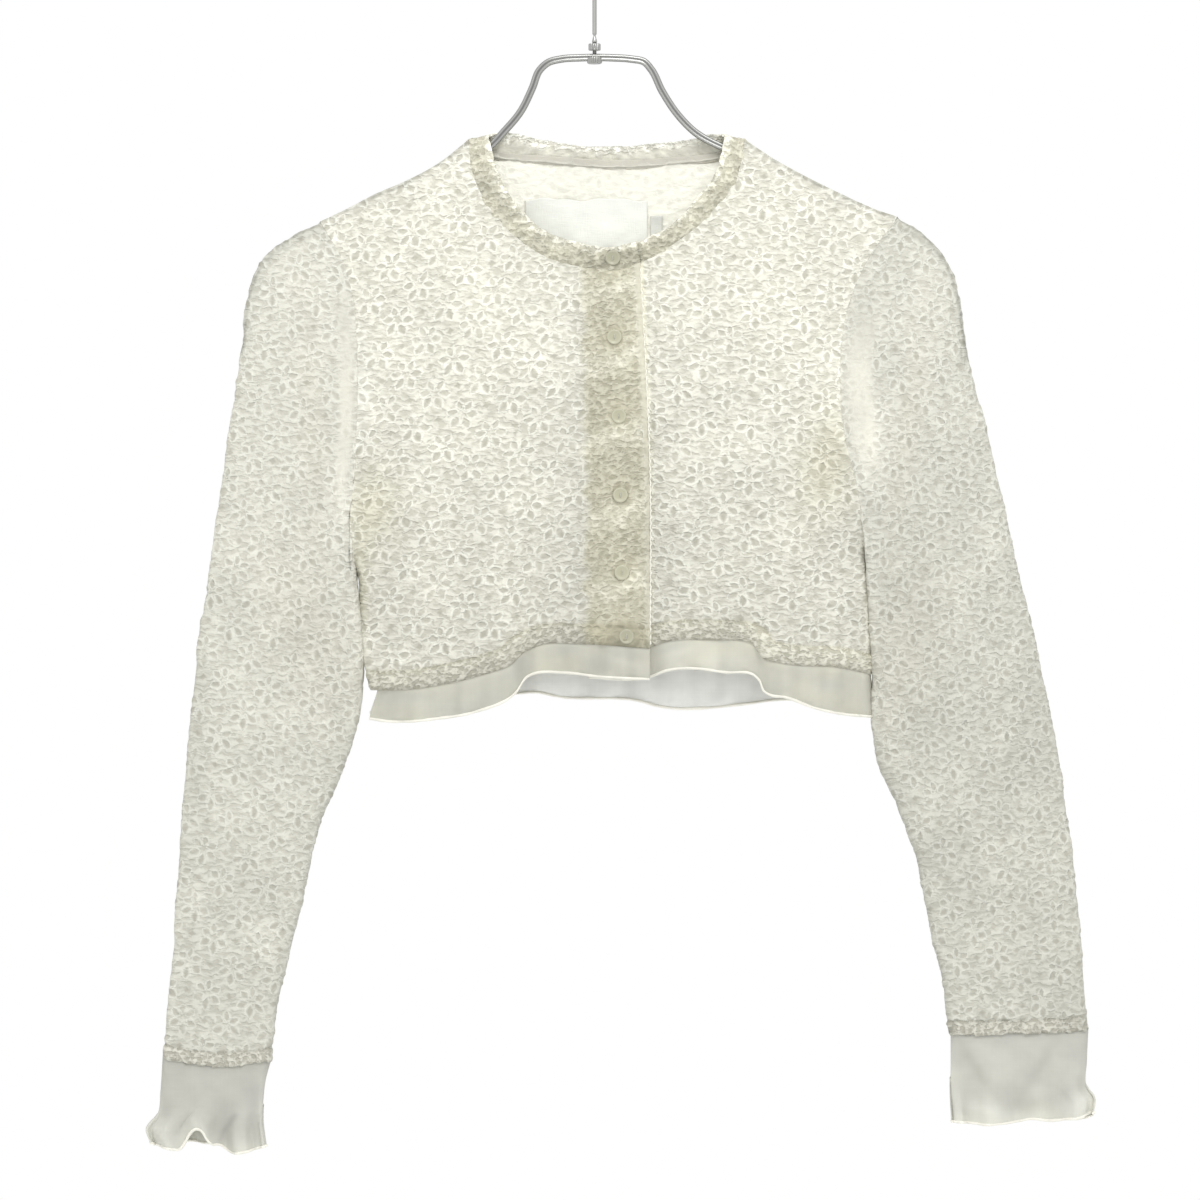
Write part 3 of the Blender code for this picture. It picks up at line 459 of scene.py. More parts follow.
def ring_mesh(
    name: str, points: Array, uv: Array, tone: Array, closed: bool = False, flip: bool = False
) -> bpy.types.Mesh:
    """A mesh through rings of places.

    Args:
        name: The mesh's name.
        points: The places, one ring a row.
        uv: A map place for each of them.
        tone: Light, warmth and pattern strength for each ring or for each place.
        closed: Whether the last ring joins the first. Otherwise a face closes each end.
        flip: Whether the faces turn the other way.

    Returns:
        The mesh.
    """
    index = np.arange(points[..., 0].size).reshape(points.shape[:2])
    rows = np.vstack([index, index[:1]]) if closed else index
    faces = [quads(np.hstack([rows, rows[:, :1]]))]
    if not closed:
        faces += [index[:1, ::-1], index[-1:]]
    if flip:
        faces = [block[:, ::-1] for block in faces]
    tones = np.broadcast_to(tone if tone.ndim == 3 else tone[:, None], points.shape)
    return mesh_of(name, points.reshape(-1, 3) * MM, faces, uv.reshape(-1, 2) * MM, tones.reshape(-1, 3))


def tube_mesh(
    name: str, path: Array, radius: Array, sides: int, tone: Array, closed: bool = False
) -> bpy.types.Mesh:
    """A round tube along a path, its cut's directions square to the path and to y.

    Args:
        name: The mesh's name.
        path: The middle line's places.
        radius: The radius at each place.
        sides: How many sides the tube has.
        tone: Light, warmth and pattern strength at each place.
        closed: Whether the path's end joins its start.

    Returns:
        The mesh, with closed ends where the path is open.
    """
    run = np.roll(path, -1, axis=0) - np.roll(path, 1, axis=0) if closed else np.gradient(path, axis=0)
    run = unit(run)
    first = unit(np.cross(run, (0.05, 1.0, 0.1)))
    second = np.cross(run, first)
    turn = full_turn(sides)
    ring = np.cos(turn)[None, :, None] * first[:, None] + np.sin(turn)[None, :, None] * second[:, None]
    points = path[:, None] + radius[:, None, None] * ring
    uv = stacked(lengths(path)[:, None], turn[None] * radius.mean())
    return ring_mesh(name, points, uv, tone, closed)


def turned_mesh(
    name: str, profile: Array, sides: int, tone: Array, lobes: Array | None = None
) -> bpy.types.Mesh:
    """A piece turned about the upright axis.

    Args:
        name: The mesh's name.
        profile: Radius and height from one end's middle to the other's, in order.
        sides: How many sides.
        tone: Light, warmth and pattern strength for each point of the profile.
        lobes: How far each side's points stand out from the profile, for each point of it.

    Returns:
        The mesh, in the profile's own place.
    """
    turn = full_turn(sides)
    radius = np.broadcast_to(profile[:, :1], (len(profile), sides))
    radius = radius if lobes is None else radius + lobes
    points = stacked(radius * np.cos(turn), radius * np.sin(turn), profile[:, 1:])
    return ring_mesh(name, points, points[..., :2], tone)


def move_mesh(mesh: bpy.types.Mesh, turn: Array, place: Sequence[float]) -> None:
    """Turns a mesh by a matrix and then moves it by a place in millimetres."""
    points = np.empty(len(mesh.vertices) * 3, np.float32)
    mesh.vertices.foreach_get("co", points)
    moved = points.reshape(-1, 3) @ turn.T + np.asarray(place) * MM
    mesh.vertices.foreach_set("co", moved.astype(np.float32).ravel())
    mesh.update()


def add_object(name: str, data: bpy.types.ID) -> bpy.types.Object:
    """Puts a mesh, a light or a camera into the scene."""
    made = bpy.data.objects.new(name, data)
    bpy.context.scene.collection.objects.link(made)
    return made


def publish(
    mesh: bpy.types.Mesh, material: bpy.types.Material, slot: Slot, *nodes: str
) -> bpy.types.Object:
    """Puts a mesh into the scene as a piece.

    Args:
        mesh: The piece's mesh.
        material: Its material.
        slot: Not used.
        nodes: The model's nodes that it stands for.

    Returns:
        The piece's object.
    """
    mesh.materials.append(material)
    piece = add_object(mesh.name, mesh)
    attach(piece, "root")
    if nodes:
        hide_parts(*nodes)
    log.info("%s: %d faces", mesh.name, len(mesh.polygons))
    return piece


def lay(
    cloth: Cloth, name: str, kind: str, thick: Array | float, step: int, finish: bpy.types.Material, slot: Slot
) -> bpy.types.Object:
    """Makes the sheet of cloth that stands for a node.

    Args:
        cloth: Its outer skin.
        name: The node's name.
        kind: The word that the piece's name adds to it.
        thick: The cloth's thickness, for the whole of it or for each place.
        step: How many outer cells one inner cell covers each way.
        finish: Its material.
        slot: The kind of material it is made of, handed on to publish.

    Returns:
        The piece.
    """
    log.info("%s: area %.5f", name, cloth.area())
    return publish(shell_mesh(f"{name}_{kind}", cloth, thick, step), finish, slot, name)


def roll_edge(
    cloth: Cloth, name: str, finish: bpy.types.Material, wander: Array, light: Array | float, closed: bool = False
) -> None:
    """Makes a rolled, overlocked edge along a cloth's first row.

    Args:
        cloth: The cloth.
        name: The piece's name.
        finish: The thread's material.
        wander: Noise from 0 to 1 along the row, which makes the edge thicker and thinner.
        light: How light the thread shows.
        closed: Whether the row's end joins its start.
    """
    path = cloth.points[0] - cloth.normals[0] * THIN
    radius = 0.95 * (0.85 + 0.3 * wander)
    tone = stacked(np.broadcast_to(light, len(path)), 0.0, 0.0)
    publish(tube_mesh(name, path, radius, 8, tone, closed), finish, Slot.CHIFFON)


# Finishes

SIXTH = math.pi / 3


def operator(operation: str, swapped: bool = False) -> Callable[["Wire", "Wire | float"], "Wire"]:
    """A wire's operator: a Math node on the wire and another value, in this or the swapped order."""

    def method(self: "Wire", other: "Wire | float") -> "Wire":
        return self.flipped(operation, other) if swapped else self.op(operation, other)

    return method


class Wire:
    """A value that a shader's nodes work out. Sums and products of wires add Math nodes."""

    __add__ = __radd__ = operator("ADD")
    __sub__, __rsub__ = operator("SUBTRACT"), operator("SUBTRACT", swapped=True)
    __mul__ = __rmul__ = operator("MULTIPLY")
    __truediv__ = operator("DIVIDE")

    def __init__(self, shade: "Shade", socket: bpy.types.NodeSocket) -> None:
        """Holds a node's output."""
        self.shade = shade
        self.socket = socket

    def op(self, operation: str, *others: "Wire | float", clamp: bool = False) -> "Wire":
        """The result of a Math node on this value and the others."""
        values = {n: value for n, value in enumerate((self, *others))}
        node = self.shade.node("ShaderNodeMath", {"operation": operation, "use_clamp": clamp}, values)
        return Wire(self.shade, node.outputs[0])

    def flipped(self, operation: str, other: float) -> "Wire":
        """The result of a Math node on a number and this value."""
        node = self.shade.node("ShaderNodeMath", {"operation": operation}, {0: other, 1: self})
        return Wire(self.shade, node.outputs[0])

    def step(self, start: float, end: float) -> "Wire":
        """0 at start and 1 at end, with soft ends."""
        node = self.shade.node(
            "ShaderNodeMapRange",
            {"interpolation_type": "SMOOTHSTEP"},
            {"Value": self, "From Min": start, "From Max": end},
        )
        return Wire(self.shade, node.outputs[0])


class Shade:
    """The node tree of one material."""

    def __init__(self, name: str) -> None:
        """Makes a material with a Principled shader."""
        self.material = bpy.data.materials.new(name)
        self.material.use_nodes = True
        self.tree = self.material.node_tree
        self.shader = self.tree.nodes["Principled BSDF"]

    def node(self, kind: str, settings: dict | None = None, inputs: dict | None = None) -> bpy.types.Node:
        """Adds a node.

        Args:
            kind: The node's type.
            settings: Its settings by name, and a ramp's stops under the name stops.
            inputs: The value or wire of each of its sockets, by name or number.

        Returns:
            The node.
        """
        made = self.tree.nodes.new(kind)
        for name, value in (settings or {}).items():
            if name == "stops":
                for n, (place, colour) in enumerate(value):
                    stop = made.color_ramp.elements[n] if n < 2 else made.color_ramp.elements.new(place)
                    stop.position, stop.color = place, (*colour, 1)
            else:
                setattr(made, name, value)
        for name, value in (inputs or {}).items():
            if isinstance(value, Wire):
                self.tree.links.new(value.socket, made.inputs[name])
            else:
                made.inputs[name].default_value = value
        return made

    def wire(
        self, kind: str, settings: dict | None = None, inputs: dict | None = None, out: int | str = 0
    ) -> Wire:
        """The output of a new node."""
        return Wire(self, self.node(kind, settings, inputs).outputs[out])

    def cloth_place(self) -> tuple[Wire, Wire]:
        """The place on the cloth's own map, in millimetres."""
        split = self.node("ShaderNodeSeparateXYZ", None, {0: self.wire("ShaderNodeUVMap", {"uv_map": CLOTH_MAP})})
        return Wire(self, split.outputs[0]) * 1000, Wire(self, split.outputs[1]) * 1000

    def hung_place(self) -> tuple[Wire, Wire]:
        """The place across and up the garment as it hangs, in millimetres."""
        place = self.wire("ShaderNodeTexCoord", None, None, "Object")
        split = self.node("ShaderNodeSeparateXYZ", None, {0: place})
        x, y, z = (Wire(self, split.outputs[n]) * 1000 for n in range(3))
        return x + y * 0.6, z

    def tones(self) -> tuple[Wire, Wire, Wire]:
        """The cloth's light, warmth and pattern strength."""
        colour = self.wire("ShaderNodeAttribute", {"attribute_name": TONE}, None, "Color")
        split = self.node("ShaderNodeSeparateColor", None, {0: colour})
        return tuple(Wire(self, split.outputs[n]) for n in range(3))

    def noise(self, x: Wire, y: Wire, z: float = 0.0, detail: float = 2.0, rough: float = 0.5) -> Wire:
        """Noise from 0 to 1 at a place."""
        place = self.wire("ShaderNodeCombineXYZ", None, {0: x, 1: y, 2: z})
        inputs = {"Vector": place, "Scale": 1.0, "Detail": detail, "Roughness": rough}
        return self.wire("ShaderNodeTexNoise", None, inputs)

    def tint(self, factor: Wire, first: Sequence[float], second: Sequence[float]) -> Wire:
        """A colour between two."""
        inputs = {0: factor, 6: (*first, 1), 7: (*second, 1)}
        return self.wire("ShaderNodeMix", {"data_type": "RGBA"}, inputs, 2)

    def scaled(self, colour: Wire | Sequence[float], factor: Wire) -> Wire:
        """A colour times a number."""
        return self.wire("ShaderNodeVectorMath", {"operation": "SCALE"}, {0: colour, "Scale": factor}, 0)

    def set(self, **sockets: "Wire | float | tuple") -> None:
        """Sets the Principled shader's sockets, named with underscores for spaces."""
        for name, value in sockets.items():
            socket = self.shader.inputs[name.replace("_", " ")]
            if isinstance(value, Wire):
                self.tree.links.new(value.socket, socket)
            else:
                socket.default_value = value

    def bump(self, height: Wire, distance: float, strength: float = 1.0) -> Wire:
        """The direction of a surface with this relief, its height in units of the distance."""
        return self.wire("ShaderNodeBump", None, {"Strength": strength, "Distance": distance, "Height": height})

    def let_light_through(self, colour: Wire, share: "Wire | float") -> None:
        """Mixes in a shader that shows the light from behind the cloth."""
        through = self.node("ShaderNodeBsdfTranslucent", None, {"Color": colour})
        mix = self.node("ShaderNodeMixShader", None, {0: share})
        self.tree.links.new(self.shader.outputs[0], mix.inputs[1])
        self.tree.links.new(through.outputs[0], mix.inputs[2])
        self.tree.links.new(mix.outputs[0], self.tree.nodes["Material Output"].inputs[0])


@dataclass(frozen=True)
class FlowerLattice:
    """Flowers of six pointed petals in a half-drop lattice, with a small four-pointed star between them.

    Flowers beyond lean_from along the cloth are turned by the angle lean. Along a petal's own axis, t is
    the distance from its middle over its half length, and w is the distance from the axis over its half
    width. Its outline is where w + t^2 = 1.
    """

    column: float = 15.2
    drop: float = 18.1
    petal_middle: float = 6.3
    petal_half: float = 3.2
    petal_wide: float = 1.8
    lower_bigger: float = 0.16
    turn: float = 0.10
    lean: float = -0.26
    lean_from: float = 760.0

    def place(self, repeat: Repeat, x: Array, z: Array) -> tuple[Array, Array]:
        """The lattice's own place for each x and z of a panel: its steps are solved as two linear equations."""
        over, up = x - repeat.flower[0], z - repeat.flower[1]
        (right_x, right_z), (down_x, down_z) = repeat.right, repeat.down
        area = right_x * down_z - right_z * down_x
        steps_right = (over * down_z - up * down_x) / area
        steps_down = (up * right_x - over * right_z) / area
        return 2 * self.column * (steps_right + repeat.shift), -2 * self.drop * steps_down

    def cell(self, u: Any, v: Any, odd: int, floor: Callable[[Any], Any]) -> tuple[Any, Any, Any]:
        """The place beside the nearest flower's middle, and the phase of that flower's own small turn."""
        across, up = u - odd * self.column, v - odd * self.drop
        i = floor(across / (2 * self.column) + 0.5)
        j = floor(up / (2 * self.drop) + 0.5)
        phase = i * 12.9 + j * 78.2 + odd * 3.7
        return across - i * (2 * self.column), up - j * (2 * self.drop), phase

    def petals(self, u: Array, v: Array) -> Array:
        """How deep each place lies in a petal, from 0 at its outline to 1 in its middle; below 0 outside."""
        best = np.full(u.shape, -9.0)
        for odd in (0, 1):
            x, y, phase = self.cell(u, v, odd, np.floor)
            radius = np.hypot(x, y)
            angle = np.arctan2(y, x) + SIXTH / 2 + self.lean * (u > self.lean_from) + self.turn * np.sin(phase)
            angle -= np.floor(angle / SIXTH + 0.5) * SIXTH
            size = 1 - self.lower_bigger * y / (radius + 1)
            t = (radius * np.cos(angle) / size - self.petal_middle) / self.petal_half
            w = np.abs(radius * np.sin(angle)) / (size * self.petal_wide)
            best = np.maximum(best, 1 - w - t * t)
        return best

    def petal_wires(self, shade: Shade, u: Wire, v: Wire) -> tuple[Wire, Wire, Wire]:
        """The same depth in a petal as wires.

        Args:
            shade: Not used.
            u: The place across the cloth.
            v: The place up the cloth.

        Returns:
            The depth, the distance from the nearest star's middle and how far below its flower's
            middle the place lies, from -1 to 1.
        """
        depths, stars, below = [], [], []
        lean = u.op("GREATER_THAN", self.lean_from) * self.lean
        for odd in (0, 1):
            x, y, phase = self.cell(u, v, odd, lambda wire: wire.op("FLOOR"))
            radius = (x * x + y * y).op("SQRT")
            angle = y.op("ARCTAN2", x) + lean + SIXTH / 2 + phase.op("SINE") * self.turn
            angle = angle - (angle / SIXTH + 0.5).op("FLOOR") * SIXTH
            size = 1 - y / (radius + 1) * self.lower_bigger
            t = (radius * angle.op("COSINE") / size - self.petal_middle) / self.petal_half
            w = (radius * angle.op("SINE")).op("ABSOLUTE") / (size * self.petal_wide)
            depths.append(1 - w - t * t)
            below.append(y / (radius + 1) * -1)
            beside, over = u - (1 - odd) * self.column, v - odd * self.drop
            near_x = beside.op("PINGPONG", self.column)
            near_y = over.op("PINGPONG", self.drop)
            stars.append(near_x * 0.40 + near_y * 0.52)
        nearer = depths[1].op("GREATER_THAN", depths[0])
        low = below[0] + (below[1] - below[0]) * nearer
        return depths[0].op("MAXIMUM", depths[1]), stars[0].op("MINIMUM", stars[1]), low


LATTICE = FlowerLattice()


@dataclass(frozen=True)
class CloqueFinish:
    """Sheer crinkled cloth with raised flowers: ridges with a painted highlight, darker petals painted darker still on
    their lower parts as shade, and fine crosswise crinkles with painted shade in their troughs. Crumpled cloth has
    painted shade between its lumps.

    The tone attribute's third part is 0 for crumpled cloth, 1 for flowers and 2 for smooth cloth. Where
    its first part, the light, is over 1, less light goes through the cloth.
    """

    neutral: tuple[float, float, float] = (0.95, 0.948, 0.865)
    warm: tuple[float, float, float] = (0.93, 0.885, 0.66)
    petal_dark: float = 0.36
    # Painted highlight on the raised ridges round the petals.
    ridge_highlight: float = 0.11
    star_dark: float = 0.36
    # Painted shade in the troughs of the crosswise crinkles.
    crinkle_shade: float = 0.235
    crumple_shade: float = 0.33
    # Painted shade between the lumps of crumpled cloth.
    smooth_dark: float = 0.13
    light_through: float = 0.25
    relief: float = 0.0014

    def material(self) -> bpy.types.Material:
        """The material, from the cloth's map and its tone attribute."""
        shade = Shade("flower_cloque")
        u, v = shade.cloth_place()
        light, warmth, kind = shade.tones()
        flowered = 1 - (kind - 1).op("ABSOLUTE")
        crumpled = (1 - kind).op("MAXIMUM", 0)
        smooth = (kind - 1).op("MAXIMUM", 0)
        wobble = shade.noise(u / 7, v / 6, 3.0) - 0.5
        waver = shade.noise(u / 6, v / 7, 9.0) - 0.5
        grain = shade.noise(u / 1.6, v / 0.9, 5.0, 1.5, 0.5)
        depth, star, below = LATTICE.petal_wires(shade, u + wobble * 2.6, v + waver * 2.6 + (grain - 0.5) * 0.7)
        shown = shade.noise(u / 17, v / 14, 15.0, 1.0).step(0.34, 0.6) * 0.36 + 0.64
        patchy = shade.noise(u / 4.5, v / 4.5, 11.0, 1.0).step(0.3, 0.6)
        inside = depth.step(-0.2, 0.75) * flowered * shown
        ridge = (1 - (depth + 0.5).op("ABSOLUTE").step(0.0, 0.75)) * flowered * shown
        spot = (1 - star.step(0.4, 1.45)) * flowered * shown
        across, up = shade.hung_place()
        crease = shade.noise(across / 5.6 + wobble * 1.6, up / 2.5 + waver * 2.2, 1.0, 1.1, 0.55).step(0.32, 0.64)
        lumps = (shade.noise(u / 2.9, v / 2.3, 7.0, 1.2, 0.5).step(0.34, 0.66) * 0.55 + crease * 0.45).step(0.15, 0.85)
        ground = (1 - inside) * (1 - spot) * flowered
        height = ridge * 0.22 + ground * crease * 0.5 + crumpled * lumps * 0.6 + grain * 0.08 - inside * 0.1
        # Painted shade: the lower parts of petals, the crinkles' troughs and the hollows between lumps are darker, and
        # the ridges carry a painted highlight.
        dark = inside * (below * 0.12 + 0.88) * (patchy * 0.25 + 0.8) * self.petal_dark + spot * self.star_dark
        dark = dark + ground * (1 - crease) * (1 - ridge) * self.crinkle_shade + crumpled * (1 - lumps) * self.crumple_shade
        dark = dark + (0.5 - grain) * 0.07 - ridge * self.ridge_highlight + smooth * self.smooth_dark
        colour = shade.tint(warmth + dark * 0.8 - 0.06, self.neutral, self.warm)
        colour = shade.scaled(colour, light.op("MINIMUM", 1.1) * (1 - dark))
        shade.set(Base_Color=colour, Roughness=0.92, Normal=shade.bump(height, self.relief))
        shade.shader.inputs["Specular IOR Level"].default_value = 0.2
        shade.let_light_through(colour, self.light_through - (light - 1).op("MAXIMUM", 0) * 1.8)
        return shade.material


@dataclass(frozen=True)
class ChiffonFinish:
    """Plain sheer chiffon with a faint weave and soft streaks along the thread."""

    neutral: tuple[float, float, float] = (0.92, 0.925, 0.91)
    warm: tuple[float, float, float] = (0.90, 0.89, 0.75)
    light_through: float = 0.35

    def material(self) -> bpy.types.Material:
        """The material, from the cloth's map and its tone attribute."""
        shade = Shade("chiffon")
        u, v = shade.cloth_place()
        light, warmth, _ = shade.tones()
        upright = shade.noise(u / 0.9, v / 60, 2.0, 2.0, 0.6)
        level = shade.noise(u / 60, v / 0.9, 4.0, 2.0, 0.6)
        cloud = shade.noise(u / 14, v / 11, 6.0, 2.0, 0.5)
        weave = upright * 0.5 + level * 0.5
        dark = (0.5 - weave) * 0.10 + (0.5 - cloud) * 0.16
        colour = shade.scaled(shade.tint(warmth, self.neutral, self.warm), light * (1 - dark))
        shade.set(Base_Color=colour, Roughness=0.8, Normal=shade.bump(weave * 0.3 + cloud * 2, 0.0003))
        shade.shader.inputs["Specular IOR Level"].default_value = 0.25
        shade.let_light_through(colour, self.light_through)
        return shade.material


@dataclass(frozen=True)
class ThreadFinish:
    """Close overlock stitching of shiny thread on a rolled edge."""

    pale: tuple[float, float, float] = (0.98, 0.965, 0.87)
    deep: tuple[float, float, float] = (0.70, 0.68, 0.56)
    pitch: float = 0.9

    def material(self) -> bpy.types.Material:
        """The material, its stitches counted along the map's first direction."""
        shade = Shade("rolled_thread")
        u, v = shade.cloth_place()
        light, warmth, _ = shade.tones()
        stitch = ((u + v * 0.4) * (2 * math.pi / self.pitch)).op("SINE") * 0.5 + 0.5
        colour = shade.tint(stitch * 0.3 + warmth, self.pale, self.deep)
        shade.set(Base_Color=shade.scaled(colour, light), Roughness=0.5, Normal=shade.bump(stitch, 0.0003))
        return shade.material


@dataclass(frozen=True)
class WovenFinish:
    """Smooth woven tape or satin label, with fine threads across it."""

    name: str
    pale: tuple[float, float, float]
    deep: tuple[float, float, float]
    roughness: float = 0.55
    light_through: float = 0.3

    def material(self) -> bpy.types.Material:
        """The material, from the cloth's map and its tone attribute."""
        shade = Shade(self.name)
        u, v = shade.cloth_place()
        light, warmth, _ = shade.tones()
        thread = shade.noise(u / 0.5, v / 8, 2.0, 1.0) * 0.5 + shade.noise(u / 8, v / 0.5, 3.0, 1.0) * 0.5
        cloud = shade.noise(u / 9, v / 7, 5.0)
        colour = shade.tint(warmth + (0.5 - cloud) * 0.6 + (0.5 - thread) * 0.5, self.pale, self.deep)
        shade.set(
            Base_Color=shade.scaled(colour, light),
            Roughness=self.roughness,
            Normal=shade.bump(thread + cloud, 0.0003),
        )
        shade.let_light_through(colour, self.light_through)
        return shade.material


@dataclass(frozen=True)
class ResinFinish:
    """Clear smoky cream resin, glossy, with a darker cloudy middle."""

    rim: tuple[float, float, float] = (0.425, 0.415, 0.31)
    middle: tuple[float, float, float] = (0.385, 0.375, 0.265)

    def material(self) -> bpy.types.Material:
        """The material, from the cloth's map and its tone attribute."""
        shade = Shade("button_resin")
        u, v = shade.cloth_place()
        light, warmth, _ = shade.tones()
        cloud = shade.noise(u / 2.5, v / 2.5, 4.0)
        colour = shade.tint(warmth + (cloud - 0.5) * 0.5, self.rim, self.middle)
        shade.set(Base_Color=shade.scaled(colour, light), Roughness=0.4, Coat_Weight=0.12)
        shade.shader.inputs["Coat Roughness"].default_value = 0.05
        return shade.material


@dataclass(frozen=True)
class SteelFinish:
    """Polished steel with fine drawn lines, darker where the tone's warmth is higher: painted shade in the bar's
    groove and along its edges.
    """

    pale: tuple[float, float, float] = (0.49, 0.49, 0.475)
    deep: tuple[float, float, float] = (0.14, 0.14, 0.135)

    def material(self) -> bpy.types.Material:
        """The material, from the piece's map and its tone attribute."""
        shade = Shade("hanger_steel")
        u, v = shade.cloth_place()
        light, warmth, _ = shade.tones()
        drawn = shade.noise(u / 30, v / 0.8, 2.0, 1.0)
        colour = shade.tint(warmth + (drawn - 0.5) * 0.08, self.pale, self.deep)
        shade.set(
            Base_Color=shade.scaled(colour, light),
            Metallic=1.0,
            Roughness=drawn * 0.1 + 0.3,
        )
        return shade.material


@dataclass(frozen=True)
class FloorFinish:
    """A pale matt floor."""

    colour: tuple[float, float, float] = (0.93, 0.93, 0.93)

    def material(self) -> bpy.types.Material:
        """The material."""
        shade = Shade("studio_floor")
        speck = shade.wire("ShaderNodeTexNoise", None, {"Scale": 40.0})
        shade.set(Base_Color=shade.scaled(self.colour, speck * 0.02 + 0.99), Roughness=0.9)
        return shade.material


# The garment's outlines

SHOULDER = {
    Side.RIGHT: [(-83, -137), (-102, -152), (-124, -164), (-146, -173.5), (-163, -182.5), (-181, -191)],
    Side.LEFT: [(99, -137), (118, -149.5), (134, -158.5), (162, -172.5), (184, -182.5), (200, -188)],
}
ARMHOLE = {
    Side.RIGHT: [
        (-159, -414), (-161, -397), (-159, -361), (-156, -321),
        (-156, -275), (-159, -242), (-167, -215), (-181, -191),
    ],
    Side.LEFT: [
        (179, -406), (177, -387), (172, -362), (165, -335),
        (162, -295), (165, -255), (181, -214), (200, -188),
    ],
}
SIDE_SEAM = {
    Side.RIGHT: [(-147.5, -499.5), (-152.5, -475), (-154.8, -447), (-155.5, -424), (-159, -414)],
    Side.LEFT: [(182.4, -489), (182.2, -473), (180.2, -440), (178, -416), (179, -406)],
}
NECK = {
    Side.RIGHT: [
        (30, -218), (12, -223), (-1, -222), (-21, -218), (-41, -209),
        (-58, -195), (-70, -180), (-80, -160), (-83, -137),
    ],
    Side.LEFT: [
        (-6, -222), (16, -223.5), (30, -218), (46, -209), (64, -197),
        (80, -181), (93, -163), (99, -137),
    ],
}
NECK_BACK = [
    (-83, -137), (-80, -142), (-68, -145.5), (-33, -149), (16, -152),
    (52, -150), (84, -146), (96, -142), (99, -137),
]
FREE = {
    Side.RIGHT: [(28, -204), (10, -208), (-9, -205), (-31, -198), (-49, -182), (-63, -160), (-70, -134)],
    Side.LEFT: [
        (-8, -207), (10, -208.5), (21, -208), (35, -201), (52, -192),
        (67, -176), (79, -160), (86, -134),
    ],
}
FREE_BACK = [
    (-70, -134), (-62, -131), (-53, -131.5), (-33, -136), (-14, -139),
    (11, -140), (40, -138), (66, -135), (78, -132), (86, -134),
]
FRONT_EDGE = {
    Side.RIGHT: [(36.5, -472), (36.5, -361), (30, -218)],
    Side.LEFT: [(-4.3, -470), (-2.3, -354), (-6, -222)],
}
HEM = {
    Side.RIGHT: [
        (36.5, -472), (-10, -469), (-35, -469.5), (-47, -475), (-54, -482),
        (-70, -488), (-92, -494), (-124, -499), (-147.5, -499.5),
    ],
    Side.LEFT: [
        (-4.3, -470), (36, -471), (50, -467), (80, -466.5), (98, -467), (103, -468.5), (107, -473.5),
        (111, -478.5), (120, -481), (135, -483), (158, -484), (182.4, -489),
    ],
}
HEM_BACK = [
    (-147.5, -499.5), (-100, -493), (-40, -486), (40, -484),
    (75, -481.5), (100, -483), (125, -489), (182.4, -489),
]
FRILL = {
    Side.RIGHT: [
        (35, -492), (0, -490), (-16, -488), (-45, -491), (-52, -501),
        (-77, -513), (-105, -518), (-132, -520), (-152, -517.5),
    ],
    Side.LEFT: [
        (-3, -491), (35, -491), (48.5, -486), (67, -485), (86, -487.5), (105, -489.5), (108.5, -493),
        (111.5, -500), (116, -502.5), (124, -503.5), (145, -511), (164, -515), (184, -517),
    ],
}
FRILL_BACK = [
    (-152, -515), (-100, -508), (-52, -502), (-39, -501), (-23, -504),
    (30, -507), (41, -510), (99, -509), (122, -506), (184, -512),
]
SLEEVE = {
    Side.RIGHT: [
        (-181, -191, -159, -414, 12), (-201, -200.5, -155.5, -447, 12),
        (-220.5, -217.5, -151.2, -476, 12), (-229, -239, -153.2, -504, 12.5),
        (-233.2, -275, -158, -529, 13), (-242.6, -335, -169, -560, 13.5),
        (-251.3, -401, -182, -592, 13.5), (-261.5, -467, -190, -628, 13),
        (-269, -536, -197, -659, 12.5), (-275, -612, -204, -688, 12),
        (-279, -678, -209, -711, 11), (-285, -740, -213, -742, 10),
    ],
    Side.LEFT: [
        (200, -188, 179, -406, 12), (218.5, -199.5, 179.9, -440, 12),
        (233, -217, 182.1, -473, 12), (240, -240, 182.6, -510, 12.5),
        (247, -279, 186, -543, 13), (261, -335, 198.5, -574, 13.5),
        (274, -394, 208, -599, 13.5), (289, -457, 216, -628, 13),
        (303, -523, 223, -665, 12.5), (314, -599, 229, -692, 12),
        (321, -661, 232, -712, 11), (326, -722, 235, -725, 10),
    ],
}
CUFF_OUTER = {
    Side.RIGHT: [(-285, -741), (-286.5, -764), (-288, -778), (-296, -790), (-293, -798)],
    Side.LEFT: [(326, -723), (325, -744), (325, -762), (330, -770), (329, -780)],
}
CUFF_INNER = {
    Side.RIGHT: [(-213, -743), (-217, -757), (-218.5, -770), (-219, -782), (-217, -800)],
    Side.LEFT: [(235, -726), (235, -744), (235, -766), (235.5, -776), (236, -784)],
}
BUTTON_PLACES = [(12, -215), (13, -267), (16, -319), (17, -371), (18, -422), (21, -464)]


